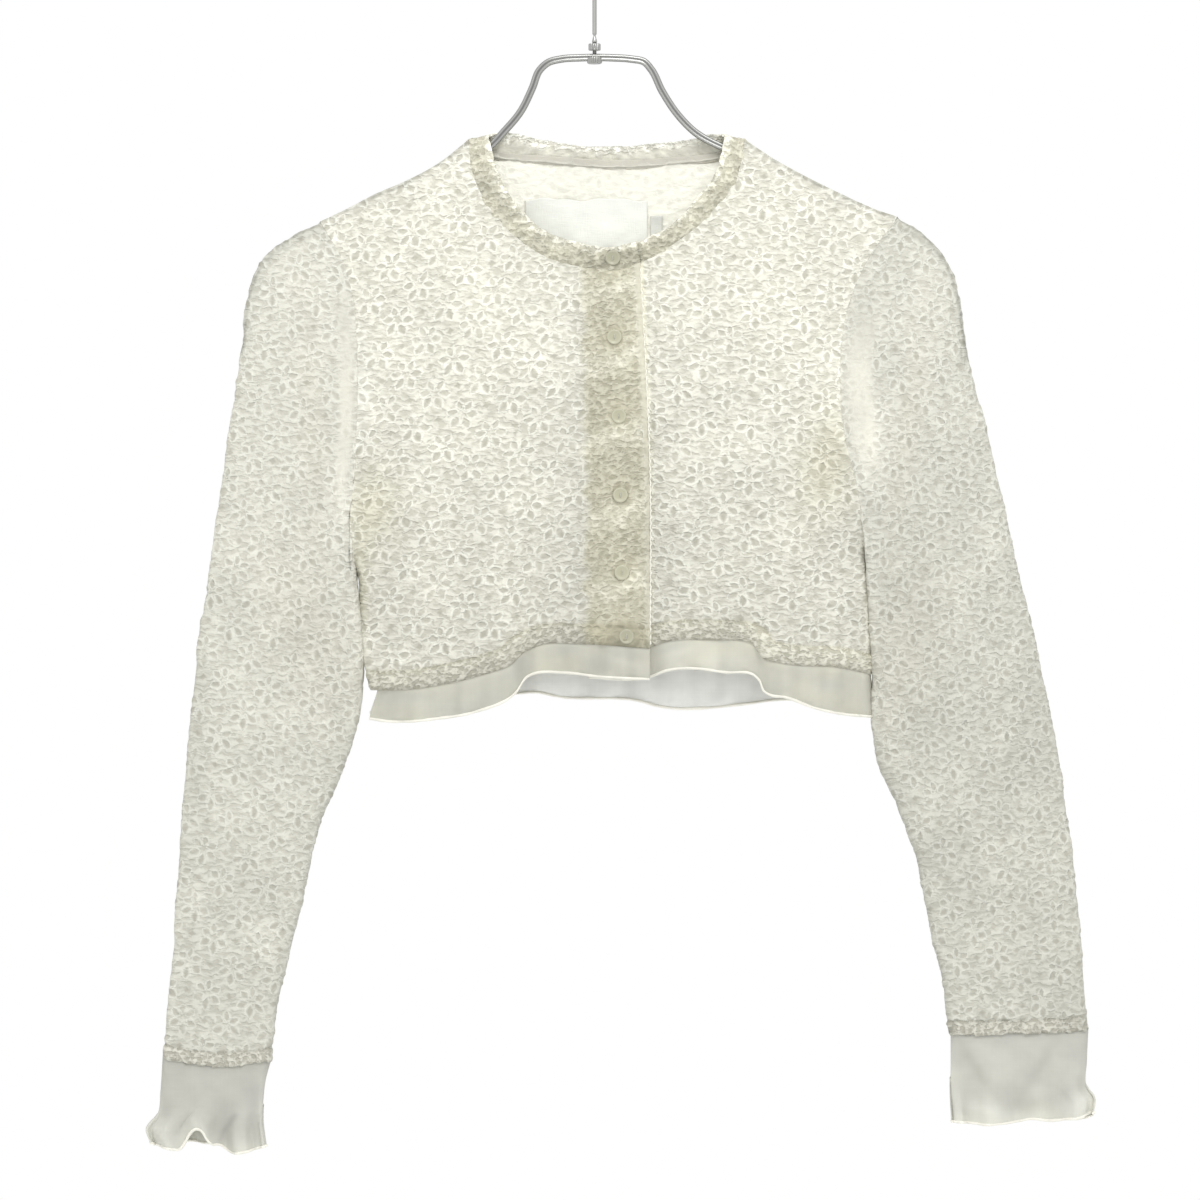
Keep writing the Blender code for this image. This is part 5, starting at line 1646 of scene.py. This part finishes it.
@dataclass
class Neckline:
    """The crumpled neckband, the tape inside it, the label and the size tab."""

    drape: Drape
    finish: bpy.types.Material
    tape_finish: bpy.types.Material
    label_finish: bpy.types.Material
    front_stations: int = 121
    back_stations: int = 161
    rows: int = 17
    thick: float = 1.6
    outer: float = 1.0
    tucked: float = 1.8
    lean: float = 0.9
    label: tuple[float, float, float, float] = (-46, 35, -217, -175)
    tab: tuple[float, float, float, float] = (37, 45, -199, -186)

    def seam(self) -> tuple[Array, Array]:
        """The neck seam's middle line and its free edge, from the under end round the back to the over end."""
        ahead = close_shares(self.front_stations, ())
        behind = close_shares(self.back_stations, ())
        left = smooth_line(NECK[Side.LEFT], ahead)
        back = smooth_line(NECK_BACK[::-1], behind)
        right = smooth_line(NECK[Side.RIGHT][::-1], ahead)
        seam = joined(
            stacked(left[:, 0], self.drape.lapped_y(*left.T), left[:, 1]),
            stacked(back[:, 0], self.drape.back_y(*back.T), back[:, 1]),
            stacked(right[:, 0], self.drape.front_y(*right.T), right[:, 1]),
        )
        for shoulder in (self.front_stations - 1, len(seam) - self.front_stations):
            near = bell(np.arange(len(seam)) - shoulder, 2.5)
            seam[:, 1] *= 1 - near
        free = joined(
            smooth_line(FREE[Side.LEFT], ahead),
            smooth_line(FREE_BACK[::-1], behind),
            smooth_line(FREE[Side.RIGHT][::-1], ahead),
        )
        return seam, stacked(free[:, 0], self.lean * seam[:, 1], free[:, 1])

    def band(self) -> Cloth:
        """The neckband: rows run from the seam to the free edge, crowned between them."""
        seam, top = self.seam()
        rise = unit(top - seam)
        foot = seam - self.tucked * rise
        share = np.linspace(0, 1, self.rows)[:, None, None]
        points = along(foot[None], top[None], share)
        normals = skin_normals(points, None)
        outward = unit(seam - (8.0, 0.0, -170.0)) * (0.3, 1, 0.3)
        normals *= np.sign((normals * outward).sum(axis=-1, keepdims=True))
        run = lengths(seam)
        height = np.linspace(0, 15, self.rows)[:, None]
        uv = stacked(run[None], height)
        s = np.linspace(0, 1, self.rows)[:, None]
        crown = 1.5 * s**0.7 * (1 - s**5)
        run_in = np.minimum(run, run[-1] - run)[None]
        crown = crown - 1.2 * np.clip(1 - run_in / 2.5, 0, 1) ** 2
        lumps = 2.4 * (value_noise(uv[..., 0] / 4.6, uv[..., 1] / 4.2, 11) - 0.5)
        lumps += 0.6 * (value_noise(uv[..., 0] / 2.1, uv[..., 1] / 2.0, 12) - 0.5)
        tone = np.zeros((*uv.shape[:2], 3))
        behind = np.clip(seam[:, 1] / 4, 0, 1)[None]
        middle = bell(seam[:, 0] - 14, 32)[None] * (1 - behind)
        ragged = s + 0.3 * (value_noise(uv[..., 0] / 3.4, uv[..., 1] / 2.6, 14) - 0.5)
        dull = (1 - behind) * (1 - ramp(ragged, 0.68, 0.28)) * (0.75 + 0.25 * bell(s - 0.36, 0.2))
        # Painted light and shade on the lumps: raised lumps lighter, the hollows between them darker.
        tone[..., 0] = 0.99 + 0.01 * behind - (0.27 + 0.13 * middle) * dull + 0.13 * lumps
        places = np.arange(len(seam))
        # Painted light at the shoulders' corners, cancelling the shade in the crevices there.
        for shoulder in (self.front_stations - 1, len(seam) - self.front_stations):
            tone[..., 0] += 0.10 * bell(places - shoulder, 16)
        tone[..., 1] = 0.28 - 0.1 * behind + (0.3 + 0.15 * middle) * dull
        tone[..., 2] = 0.4 * dull
        cloth = Cloth(points, normals, tone, uv)
        cloth.inner_tone = tone * (1, 0.3, 1)
        lined = behind * (1 - ramp(ragged, 0.58, 0.3))
        cloth.inner_tone[..., 0] += 0.03 * behind - 0.22 * lined
        cloth.inner_tone[..., 1] += 0.15 * lined
        cloth.inner_tone[..., 2] = along(cloth.inner_tone[..., 2], 1.8, lined)
        edge = 0.8 * bell(1 - s, 0.12) * (noise_along(run / 3.6, 13) - 0.5)[None]
        cloth.points = cloth.points + edge[..., None] * rise[None]
        risen = self.outer * soft_step(s / 0.22)
        return cloth.moved(risen + crown + np.clip(lumps, -0.9, 1.4) * (0.35 + 0.65 * np.sqrt(4 * s * (1 - s))))

    def tape(self) -> Cloth:
        """A smooth tape along the inside of the back neck, 6.4 mm wide."""
        seam, top = self.seam()
        first, count = self.front_stations - 1, self.back_stations
        skip = 9
        at = slice(first + skip, first + count - skip)
        line, up = seam[at], unit(top - seam)[at]
        down = stacked(line[:, 0], self.drape.back_y(line[:, 0], line[:, 2] - 4), line[:, 2] - 4)
        down = unit(down - line)
        share = np.linspace(-1, 1, 9)[:, None, None]
        spread = np.where(share < 0, down[None] * -share, up[None] * share)
        points = line[None] + 3.2 * spread + (0, -0.6, 0)
        points[..., 1] += 1.0 * np.clip(-share[..., 0], 0, 1) ** 4
        normals = skin_normals(points, (0, -1, 0))
        run = lengths(line)
        uv = stacked(run[None], 3.2 * share[..., 0])
        tone = np.zeros((*uv.shape[:2], 3))
        # Painted light along the tape's lower edge, cancelling the shade there.
        tone[..., 0] = 0.69 + 0.03 * np.sin(run / 9)[None] + 0.2 * np.clip(-share[..., 0], 0, 1) ** 3
        tone[..., 1] = 0.25
        return Cloth(points, normals, tone, uv).moved(np.full(uv.shape[:2], 0.3))

    def patch(self, corners: tuple[float, float, float, float], wave: float, light: float) -> Cloth:
        """A flat piece sewn on the back's inside, its top edge a little wavy."""
        low_x, high_x, low_z, high_z = corners
        columns, rows = int((high_x - low_x) * 1.2) | 1, int((high_z - low_z) * 1.2) | 1
        x, z = np.meshgrid(np.linspace(low_x, high_x, columns), np.linspace(low_z, high_z, rows))
        rise = (z - low_z) / (high_z - low_z)
        z = z + wave * rise**3 * (np.sin(x / 6.5) + 0.6 * np.sin(x / 2.9 + 1))
        calm = np.clip(np.minimum(x - low_x, high_x - x) / 12, 0, 1)
        y = self.drape.back_y(x, z) - 1.1 - 0.9 * wave * calm * value_noise(x / 9, z / 7, 15)
        points = stacked(x, y, z)
        tone = np.zeros((*x.shape, 3))
        # Painted light: lighter towards the lower edge and a little at the sides.
        tone[..., 0] = light + 0.02 * bell(calm * 12, 3.5) + 0.26 * (1 - rise)
        tone[..., 1] = 0.12
        uv = stacked(x, z)
        return Cloth(points, skin_normals(points, (0, -1, 0)), tone, uv)

    def build(self) -> None:
        """Makes the four pieces."""
        piece = lay(self.band(), "neckband", "cloth", self.thick, 1, self.finish, Slot.CLOQUE)
        tape = lay(self.tape(), "neck_tape", "woven", THIN, 1, self.tape_finish, Slot.WOVEN)
        for name, corners, wave, light in (
            ("label", self.label, 0.8, 0.81),
            ("size_tab", self.tab, 0.2, 0.62),
        ):
            cloth = self.patch(corners, wave, light)
            piece = lay(cloth, name, "woven", THIN, 1, self.label_finish, Slot.WOVEN)


@dataclass
class Frills:
    """The sheer frill below the hem, with a rolled edge of its own."""

    drape: Drape
    finish: bpy.types.Material
    edge_finish: bpy.types.Material
    columns: int = 241
    rows: int = 41
    hidden: float = 9.0
    inset: float = 0.5
    flare: dict[Side, float] = by_side(-5.5, 2.0)
    flare_reach: float = 9.0
    corner_inset: dict[Side, float] = by_side(4.5, 0.0)
    ripple: float = 1.1
    ripple_length: float = 27.0

    def strip(
        self,
        hem: Line,
        lower: Line,
        depth: Callable[[Array, Array], Array],
        towards: int,
        ends: Sequence[tuple[int, Side]],
        patches: Sequence[Patch],
    ) -> Cloth:
        """A strip from behind the stitching down to its lower edge.

        Args:
            hem: The panel's hem, from the first column to the last.
            lower: The strip's lower outline.
            depth: The panel's middle surface.
            towards: -1 for a front strip and 1 for the back one.
            ends: The columns that swing out below a side seam, with their side.
            patches: Where it shows lighter or darker.

        Returns:
            The strip's outer skin, rows up.
        """
        shares = close_shares(self.columns, [0 if end == 0 else 1 for end, _ in ends])
        long = lengths(hem)[-1]
        start = sum(self.corner_inset[side] for end, side in ends if end == 0) / long
        stop = sum(self.corner_inset[side] for end, side in ends if end != 0) / long
        line = smooth_line(hem, start + (1 - start - stop) * shares)
        x, z = line.T
        swing, calm = np.zeros(len(x)), np.ones(len(x))
        for end, side in ends:
            near = np.exp(-np.abs(x - x[end]) / self.flare_reach)
            swing += self.flare[side] * near
            calm *= 1 - near
        foot_x = x + swing
        foot_z = height_at(lower, foot_x)
        top_y = depth(x, z) - towards * np.minimum(self.inset, np.abs(depth(x, z)) * 0.6)
        share = np.linspace(0, 1, self.rows)[:, None]
        hang = np.clip(share / 0.72, 0, 1)
        wave = self.ripple * calm * np.sin(2 * math.pi * foot_x / self.ripple_length)
        gathers = 0.35 * np.sin(x / 2.1 + 2 * np.sin(x / 17)) + 0.5 * (noise_along(x / 7, 21) - 0.5)
        shown_x = along(foot_x, x, hang)
        shown_z = along(foot_z, z, hang)
        above = np.clip((share - 0.72) / 0.28, 0, 1) * self.hidden
        y = along(top_y + wave, top_y, hang) + (1 - hang) * calm * gathers[None] * 1.2
        curl = bell(share, 0.06)
        y = y + towards * 0.9 * curl * np.sin(foot_x / 6.0 + np.sin(foot_x / 11))
        points = stacked(shown_x, y, shown_z + above)
        normals = skin_normals(points, (0, towards, 0))
        tone = tone_at(points[..., 0], points[..., 2], patches, 0.67, 0.75, 0.0)
        clouds = value_noise(points[..., 0] / 17, points[..., 2] / 8, 23) - 0.5
        pleat_shading = value_noise(points[..., 0] / 6, points[..., 2] / 40, 24) - 0.5
        # Painted light and shade on the upright pleats, and painted light along the top of the shown part, cancelling
        # the shade under the hem.
        tone[..., 0] += 0.06 * clouds + 0.07 * pleat_shading + 0.07 * bell(share - 0.72, 0.09)
        tone[..., 1] += 0.3 * clouds
        if towards > 0:
            tone[..., 0] += 0.27
            tone[..., 1] = 0.1
        uv = points[..., ::2].copy()
        return Cloth(points, normals, tone, uv)

    def build(self) -> None:
        """Makes the three strips."""
        front, lapped, back = self.drape.front_y, self.drape.lapped_y, self.drape.back_y
        right = (
            Patch(-10, -482, 26, 9, 0, -0.03, 0.1),
            Patch(20, -481, 14, 3, -14, 0.08, 0.0),
            Patch(-110, -508, 34, 3, -4, 0.03, 0.0),
        )
        left = (
            Patch(74, -476, 27, 12, 0, 0.13, 0.0),
            Patch(56, -474, 13, 2.5, 18, 0.05, 0.0),
            Patch(140, -496, 30, 12, -12, 0.03, 0.0),
        )
        plans = (
            ("frill_front_right", HEM[Side.RIGHT], FRILL[Side.RIGHT], front, -1, [(-1, Side.RIGHT)], right, 0.197),
            ("frill_front_left", HEM[Side.LEFT], FRILL[Side.LEFT], lapped, -1, [(-1, Side.LEFT)], left, 0.197),
            ("frill_back", HEM_BACK, FRILL_BACK, back, 1, [(0, Side.RIGHT), (-1, Side.LEFT)], (), 0.340),
        )
        for name, hem, lower, depth, towards, ends, patches, wide in plans:
            cloth = self.strip(hem, lower, depth, towards, ends, patches)
            piece = lay(cloth, name, "chiffon", CHIFFON_THICK, 2, self.finish, Slot.CHIFFON)
            run = lengths(cloth.points[0] - cloth.normals[0] * THIN)
            light = 0.90 + 0.12 * noise_along(run / 9, 32)
            roll_edge(cloth, name + "_edge", self.edge_finish, noise_along(run / 5, 31), light)


@dataclass
class Cuffs:
    """The sheer cuffs, rippled towards their rolled lower edges."""

    finish: bpy.types.Material
    edge_finish: bpy.types.Material
    turns: int = 240
    rows: int = 61
    depth: float = 8.5
    waves: int = 9
    wave: float = 2.6
    waves_from: float = 0.35
    rims: dict[Side, tuple[Rim, ...]] = by_side(
        (
            Rim(0, 0, 0), Rim(0.13, 2.4, 0), Rim(0.28, 3.5, -1), Rim(0.335, -6, -1), Rim(0.37, -10.5, -1),
            Rim(0.44, -11, 0), Rim(0.485, -8, 0), Rim(0.515, 0, 0), Rim(0.61, -1, -2), Rim(0.7, 5.6, -2), Rim(0.85, 3.5, -3),
            Rim(1, 0, 0),
        ),
        (
            Rim(0, -2.6, 0), Rim(0.11, 1, 3), Rim(0.3, 1.8, 1), Rim(0.44, -0.8, -2), Rim(0.57, 1.8, 0),
            Rim(0.77, 2.6, -3), Rim(0.92, 0.5, -1), Rim(1, 0, 0),
        ),
    )
    phases: dict[Side, float] = by_side(0.6, 2.1)
    light: dict[Side, float] = by_side(0.655, 0.70)
    # The line of a fold on the right cuff, beside which a painted shadow falls.
    crease: tuple[tuple[float, float], ...] = ((-237, -780), (-245, -791), (-248, -800))
    # Painted light and shade on the cuffs' folds and ripples.
    patches: tuple[Patch, ...] = (
        Patch(251, -748, 15, 3.5, -57, -0.07, 0.1), Patch(268, -744, 18, 8, -37, 0.05, 0.0),
        Patch(292, -749, 22, 4, 57, -0.07, 0.0), Patch(316, -749, 10, 9, 0, 0.05, 0.0),
        Patch(256, -774, 16, 4.5, -15, 0.10, -0.1), Patch(318, -771, 12, 5.5, 10, 0.10, -0.1),
        Patch(291, -773, 12, 6, 0, -0.06, 0.1), Patch(329, -769, 5, 14, 0, 0.17, 0.0),
        Patch(235, -765, 3, 22, 0, 0.13, 0.0), Patch(-290, -788, 9, 14, 0, 0.16, 0.0),
        Patch(-262, -762, 16, 14, 0, 0.02, 0.0), Patch(-230, -780, 8, 14, 0, 0.03, 0.0),
        Patch(-250, -744, 22, 5, -8, -0.03, 0.1), Patch(-219, -775, 3, 20, 0, 0.10, 0.0),
    )

    def tube(self, side: Side, sleeve: Cloth) -> Cloth:
        """A cuff's outer skin, rows up.

        The cut is an ellipse between the two side outlines with a sine wave that grows downwards. Its
        top row is the sleeve's last ring.
        """
        turn = full_turn(self.turns)
        across = 0.5 - 0.5 * np.cos(turn)
        front = np.where(np.sin(turn) >= 0, 1, -1)
        rim = np.array(self.rims[side])
        hang = np.where(
            front > 0,
            np.interp(across, rim[:, 0], rim[:, 1]),
            np.interp(across, rim[:, 0], rim[:, 2]),
        )
        hang = np.convolve(np.r_[hang[-3:], hang, hang[:3]], np.ones(7) / 7, "valid")
        down = np.linspace(1, 0, self.rows)[:, None]
        outer = smooth_line(CUFF_OUTER[side], down[:, 0])
        inner = smooth_line(CUFF_INNER[side], down[:, 0])
        rippled = ramp(down, self.waves_from, 1 - self.waves_from)
        wave = self.wave * rippled * np.sin(self.waves * turn + self.phases[side])
        fine = 0.5 * rippled**2 * np.sin(self.waves * 2.7 * turn + 1)
        x = along(outer[:, :1], inner[:, :1], across[None])
        z = along(outer[:, 1:], inner[:, 1:], across[None]) - hang[None] * rippled
        y = -self.depth * np.sin(turn)[None] - (wave + fine) * front[None]
        if side is Side.RIGHT:
            near = 4.5 * bell(across - 0.24, 0.12) - 3.5 * bell(across - 0.66, 0.09)
            y = y - rippled * (near * (front > 0))[None]
        points = stacked(x, y, z)
        ring = sleeve.points[-1]
        half = (len(ring) + 2) // 2
        reach = np.linalg.norm(ring[:half] - ring[0], axis=-1)
        reach = reach / reach[-1]
        near = np.stack([np.interp(across, reach, ring[:half, axis]) for axis in range(3)], axis=-1)
        rear = np.concatenate([ring[half - 1 :], ring[:1]])[::-1]
        far = np.stack([np.interp(across, reach, rear[:, axis]) for axis in range(3)], axis=-1)
        seam = np.where((front > 0)[:, None], near, far) - (0, 0, SEAM)
        fade = 1 - soft_step(down / self.waves_from)
        points = points + fade[..., None] * (seam - points[-1])
        normals = skin_normals(points, None, closed=True)
        tone = tone_at(points[..., 0], points[..., 2], self.patches, self.light[side], 0.5, 0.0)
        clouds = value_noise(points[..., 0] / 15, points[..., 2] / 13, 41) - 0.5
        # Painted shade just below the sleeve's rolled end and beside the fold's line on the right cuff's front, and
        # painted light on the crests of the ripples.
        tone[..., 0] += 0.05 * clouds - 0.03 * bell(down - 0.05, 0.05)
        crease = bell(distance_to(self.crease, points[..., 0], points[..., 2]), 2.0)
        tone[..., 0] -= 0.09 * crease * (front > 0)
        tone[..., 0] += 0.10 * ramp(down, 0.75, 0.25) + 0.05 * ramp(wave, -0.5, 3)
        tone[..., 1] += 0.1 * clouds
        uv = points[..., ::2].copy()
        return Cloth(points, normals, tone, uv, closed=True)

    def build(self, sleeves: dict[Side, Cloth]) -> None:
        """Makes both cuffs with their rolled edges."""
        for side in Side:
            cloth = self.tube(side, sleeves[side])
            name = "cuff_" + side.word
            piece = lay(cloth, name, "chiffon", CHIFFON_THICK, 2, self.finish, Slot.CHIFFON)
            wander = noise_along(np.arange(self.turns) / 6, 33)
            roll_edge(cloth, name + "_edge", self.edge_finish, wander, 0.97, closed=True)


@dataclass
class Buttons:
    """Six round resin buttons, dished, with a raised rim and a thread across the middle."""

    drape: Drape
    finish: bpy.types.Material
    thread: bpy.types.Material
    radius: float = 5.0
    sides: int = 48
    profile: tuple[tuple[float, float, float], ...] = (
        (0.3, 0.0, 0.6), (3.6, 0.0, 0.4), (4.6, 0.35, 0.3), (5.0, 0.8, 0.1), (5.0, 1.2, 0.0), (4.75, 1.75, 0.0),
        (4.35, 1.85, 0.0), (3.9, 1.8, 0.2), (3.4, 1.55, 0.6), (2.6, 1.35, 0.8), (1.3, 1.4, 1.0), (0.2, 1.4, 1.0),
    )

    def build(self) -> None:
        """Makes the buttons where the fronts lap."""
        shape = np.array(self.profile)
        tone = stacked(np.ones(len(shape)), shape[:, 2], np.zeros(len(shape)))
        shaded = {1: 0.82, len(BUTTON_PLACES): 0.87}
        face_on = np.array([[1.0, 0, 0], [0, 0, -1.0], [0, 1.0, 0]])
        reach = np.linspace(-self.radius, self.radius, 9)
        for number, (x, z) in enumerate(BUTTON_PLACES, start=1):
            over_x, over_z = np.meshgrid(x + reach, z + reach)
            wall = 0.5 if number == 1 else 0.0
            y = float(self.drape.front_y(over_x, over_z).min()) - wall - SEAM
            mesh = turned_mesh(f"button_{number}_resin", shape[:, :2], self.sides, tone * (shaded.get(number, 1.0), 1, 1))
            move_mesh(mesh, face_on, (x, y, z))
            publish(mesh, self.finish, Slot.BUTTON, f"button_{number}")
            hops = ((-0.2, 1.3, -1.6), (0.0, 1.65, -1.0), (0.0, 1.65, 1.0), (0.2, 1.3, 1.6))
            path = np.array([(x + over, y - out, z + up) for over, out, up in hops])
            path = smooth_line(path, np.linspace(0, 1, 13))
            tones = np.tile((0.62, 0.5, 0.0), (len(path), 1))
            publish(tube_mesh(f"button_{number}_thread", path, np.full(13, 0.35), 6, tones), self.thread, Slot.BUTTON)


@dataclass
class Hanger:
    """A grooved steel bar bent over an arch, hung from a wire hook with a knurled nut and clip."""

    finish: bpy.types.Material
    wide: float = 2.5
    deep: float = 2.2
    steps: int = 420
    sides: int = 28
    under_shoulder: float = 3.7
    under_sleeve: float = 5.2
    ends_z: float = -234.0
    line_below: float = 30.0
    over: dict[Side, tuple[tuple[float, float], ...]] = by_side(
        (
            (-95, -149.5), (-83, -145.5), (-70, -141), (-59, -130), (-49, -118),
            (-41, -102), (-36, -90), (-31, -85.5), (-22, -83), (-10, -82.2),
        ),
        (
            (12, -82.2), (24, -83), (33, -85), (37.5, -90), (44.5, -104), (56, -121),
            (66, -131), (84, -141), (99, -146.5), (111, -150),
        ),
    )
    wire: float = 1.45
    hook_radius: float = 18.0
    stem_foot: float = -72.4
    stem_top: float = -44.0
    tip_degrees: float = 205.0
    groove_width: float = 0.3
    groove_depth: float = 0.42

    def hidden(self, side: Side) -> Array:
        """The bar's path under the cloth, from its end in the sleeve to near the neck."""
        over = [row[:2] for row in SLEEVE[side] if row[1] > self.ends_z - self.line_below]
        line = smooth_line(SHOULDER[side][1:] + over[1:], np.linspace(0, 1, 40))
        line = line[line[:, 1] > self.ends_z]
        run = unit(np.gradient(line, axis=0))
        square = stacked(run[:, 1], -run[:, 0])
        square *= -np.sign(square[:, 1:])
        drop = np.linspace(self.under_shoulder, self.under_sleeve, len(line))[:, None]
        return (line + drop * square)[::-3]

    def bar(self) -> bpy.types.Mesh:
        """The bar: an oval cut with a groove along its front and its back, carried along its path.

        At the angle a, the cut is (wide cos a, deep sin a (1 - groove_depth g)), where g is a bell of
        cos a that sinks the middle between two ridges.
        """
        right, left = self.hidden(Side.RIGHT), self.hidden(Side.LEFT)[::-1]
        path = np.vstack([right, self.over[Side.RIGHT], self.over[Side.LEFT], left])
        path = smooth_line(path, np.linspace(0, 1, self.steps))
        run = unit(np.gradient(path, axis=0))
        turn = full_turn(self.sides)
        groove = bell(np.cos(turn), self.groove_width)
        wide, deep = self.wide * np.cos(turn), self.deep * np.sin(turn) * (1 - self.groove_depth * groove)
        grid = stacked(path[:, :1] - run[:, 1:] * wide, deep, path[:, 1:] + run[:, :1] * wide)
        uv = stacked(lengths(path)[:, None], turn[None] * self.wide)
        tone = np.ones(grid.shape)
        # Painted shade in the groove and along the bar's edges.
        tone[..., 1] = np.clip(0.22 + 0.75 * groove + 0.65 * np.abs(np.cos(turn)) ** 6, 0, 1)
        sample = np.cross(grid[0, 1] - grid[0, 0], grid[1, 0] - grid[0, 0])
        inward = bool(sample @ (grid[0, 0] - grid[0].mean(axis=0)) < 0)
        return ring_mesh("hanger_bar_steel", grid, uv, tone, flip=inward)

    def hook(self) -> bpy.types.Mesh:
        """The wire: up the stem, out to the side and over the top in an arc to its rounded tip."""
        centre = self.wire - self.hook_radius
        turn = np.radians(np.linspace(-20, self.tip_degrees, 70))
        arc = stacked(self.hook_radius * np.cos(turn), centre + self.hook_radius * np.sin(turn))
        rise = smooth_line([(0, self.stem_top), (2.5, -38), (9.5, -31.5), tuple(arc[0])], np.linspace(0, 1, 24))
        stem = smooth_line([(0, self.stem_foot), (0, self.stem_top)], np.linspace(0, 1, 30))
        flat = joined(stem, rise, arc)
        tail = flat[-1] + (flat[-1] - flat[-2]) * np.array([[0.25], [0.45], [0.55]])
        path = np.vstack([flat, tail])
        radius = np.full(len(path), self.wire)
        radius[-3:] = self.wire * np.array([0.85, 0.5, 0.15])
        below = np.clip((path[:, 1] + 67.3) / -4.0, 0, 1)
        radius = np.where(path[:, 1] < -67.3, along(0.7, 1.75, below), radius)
        radius[0] = 1.4
        places = stacked(path[:, 0], np.zeros(len(path)), path[:, 1])
        tone = np.tile((1.0, 0.25, 0.0), (len(path), 1))
        return tube_mesh("hanger_hook_steel", places, radius, 20, tone)

    def knurled(self, name: str, foot: float, shape: Sequence[tuple[float, float]], teeth: int) -> bpy.types.Mesh:
        """A turned collar with upright ridges round its widest part."""
        profile = np.array(shape) + (0, foot)
        sides = teeth * 6
        turn = full_turn(sides)
        widest = (profile[:, 0] > profile[:, 0].max() - 0.3)[:, None]
        lobes = np.where(widest, -0.7 * (0.5 - 0.5 * np.cos(teeth * turn))[None] ** 2, 0)
        tone = np.tile((1.0, 0.35, 0.0), (len(profile), 1))
        return turned_mesh(name, profile, sides, tone, lobes)

    def build(self) -> None:
        """Makes the hanger's four pieces."""
        publish(self.bar(), self.finish, Slot.STEEL, "hanger_bar")
        publish(self.hook(), self.finish, Slot.STEEL, "hanger_hook")
        nut = [
            (0.3, 0), (1.3, 0), (1.3, 2.0), (3.7, 2.1), (4.0, 2.5), (4.0, 6.1), (3.6, 6.5), (1.6, 6.6), (0.2, 6.6),
        ]
        clip = [(0.3, 0), (3.8, 0), (4.7, 0.4), (4.9, 0.9), (4.9, 3.9), (4.6, 4.4), (3.9, 4.8), (0.3, 4.8)]
        publish(self.knurled("hanger_nut_steel", -79.4, nut, 14), self.finish, Slot.STEEL, "hanger_nut")
        publish(self.knurled("hanger_clip_steel", -86.2, clip, 16), self.finish, Slot.STEEL, "hanger_clip")


@dataclass
class Studio:
    """A pale floor, soft light all round and a camera straight on."""

    centre: tuple[float, float] = (3.6, -440.0)
    distance: float = 3.2
    frame: float = 0.792
    floor_z: float = -1.0
    floor_radius: float = 1.25

    def build(self) -> None:
        """Makes the floor, the lights and the camera."""
        wide, thick, high = self.floor_radius / MM, 20.0, self.floor_z / MM
        profile = np.array([(0.2, high - thick), (wide, high - thick), (wide, high), (0.2, high)])
        mesh = turned_mesh("studio_floor", profile, 96, np.ones((4, 3)))
        mesh.materials.append(FloorFinish().material())
        mesh.set_sharp_from_angle(angle=math.radians(40))
        floor = add_object("studio_floor", mesh)
        world = bpy.data.worlds.new("studio")
        world.use_nodes = True
        sky = world.node_tree.nodes["Background"].inputs
        sky["Color"].default_value, sky["Strength"].default_value = (1, 1, 1, 1), 1.0
        bpy.context.scene.world = world
        for name, place, size, power in (
            ("key", (0.25, -1.4, 1.2), 1.0, 24.0),
            ("fill", (-1.3, -1.8, 0.0), 1.6, 3.0),
        ):
            data = bpy.data.lights.new(name, "AREA")
            data.shape, data.size, data.energy = "DISK", size, power
            lamp = add_object(name, data)
            lamp.location = place
            aim = np.array((self.centre[0] * MM, 0, self.centre[1] * MM)) - place
            pitch = math.atan2(math.hypot(aim[0], aim[1]), -aim[2])
            lamp.rotation_euler = (pitch, 0, math.atan2(aim[1], aim[0]) - math.pi / 2)
        data = bpy.data.cameras.new("camera")
        data.sensor_width = 36.0
        data.lens = data.sensor_width * self.distance / self.frame
        data.clip_start, data.clip_end = 0.1, 20.0
        camera = add_object("camera", data)
        camera.location = (self.centre[0] * MM, -self.distance, self.centre[1] * MM)
        camera.rotation_euler = (math.pi / 2, 0, 0)
        bpy.context.scene.camera = camera
        bpy.context.scene.view_settings.view_transform = "Standard"


def main() -> None:
    """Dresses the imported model."""
    logging.basicConfig(level=logging.INFO, format="%(message)s", stream=sys.stdout)
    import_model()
    Studio().build()
    drape = Drape()
    cloque, chiffon, thread = CloqueFinish().material(), ChiffonFinish().material(), ThreadFinish().material()
    tape = WovenFinish("neck_tape", (0.93, 0.91, 0.82), (0.74, 0.71, 0.58)).material()
    satin = WovenFinish("label_satin", (0.885, 0.892, 0.825), (0.78, 0.79, 0.72), 0.4, 0.05).material()
    Hanger(SteelFinish().material()).build()
    Body(drape, cloque, thread).build()
    middles = Sleeves(drape, cloque).build()
    Neckline(drape, cloque, tape, satin).build()
    Frills(drape, chiffon, thread).build()
    Cuffs(chiffon, thread).build(middles)
    Buttons(drape, ResinFinish().material(), thread).build()


if __name__ == "__main__":
    main()
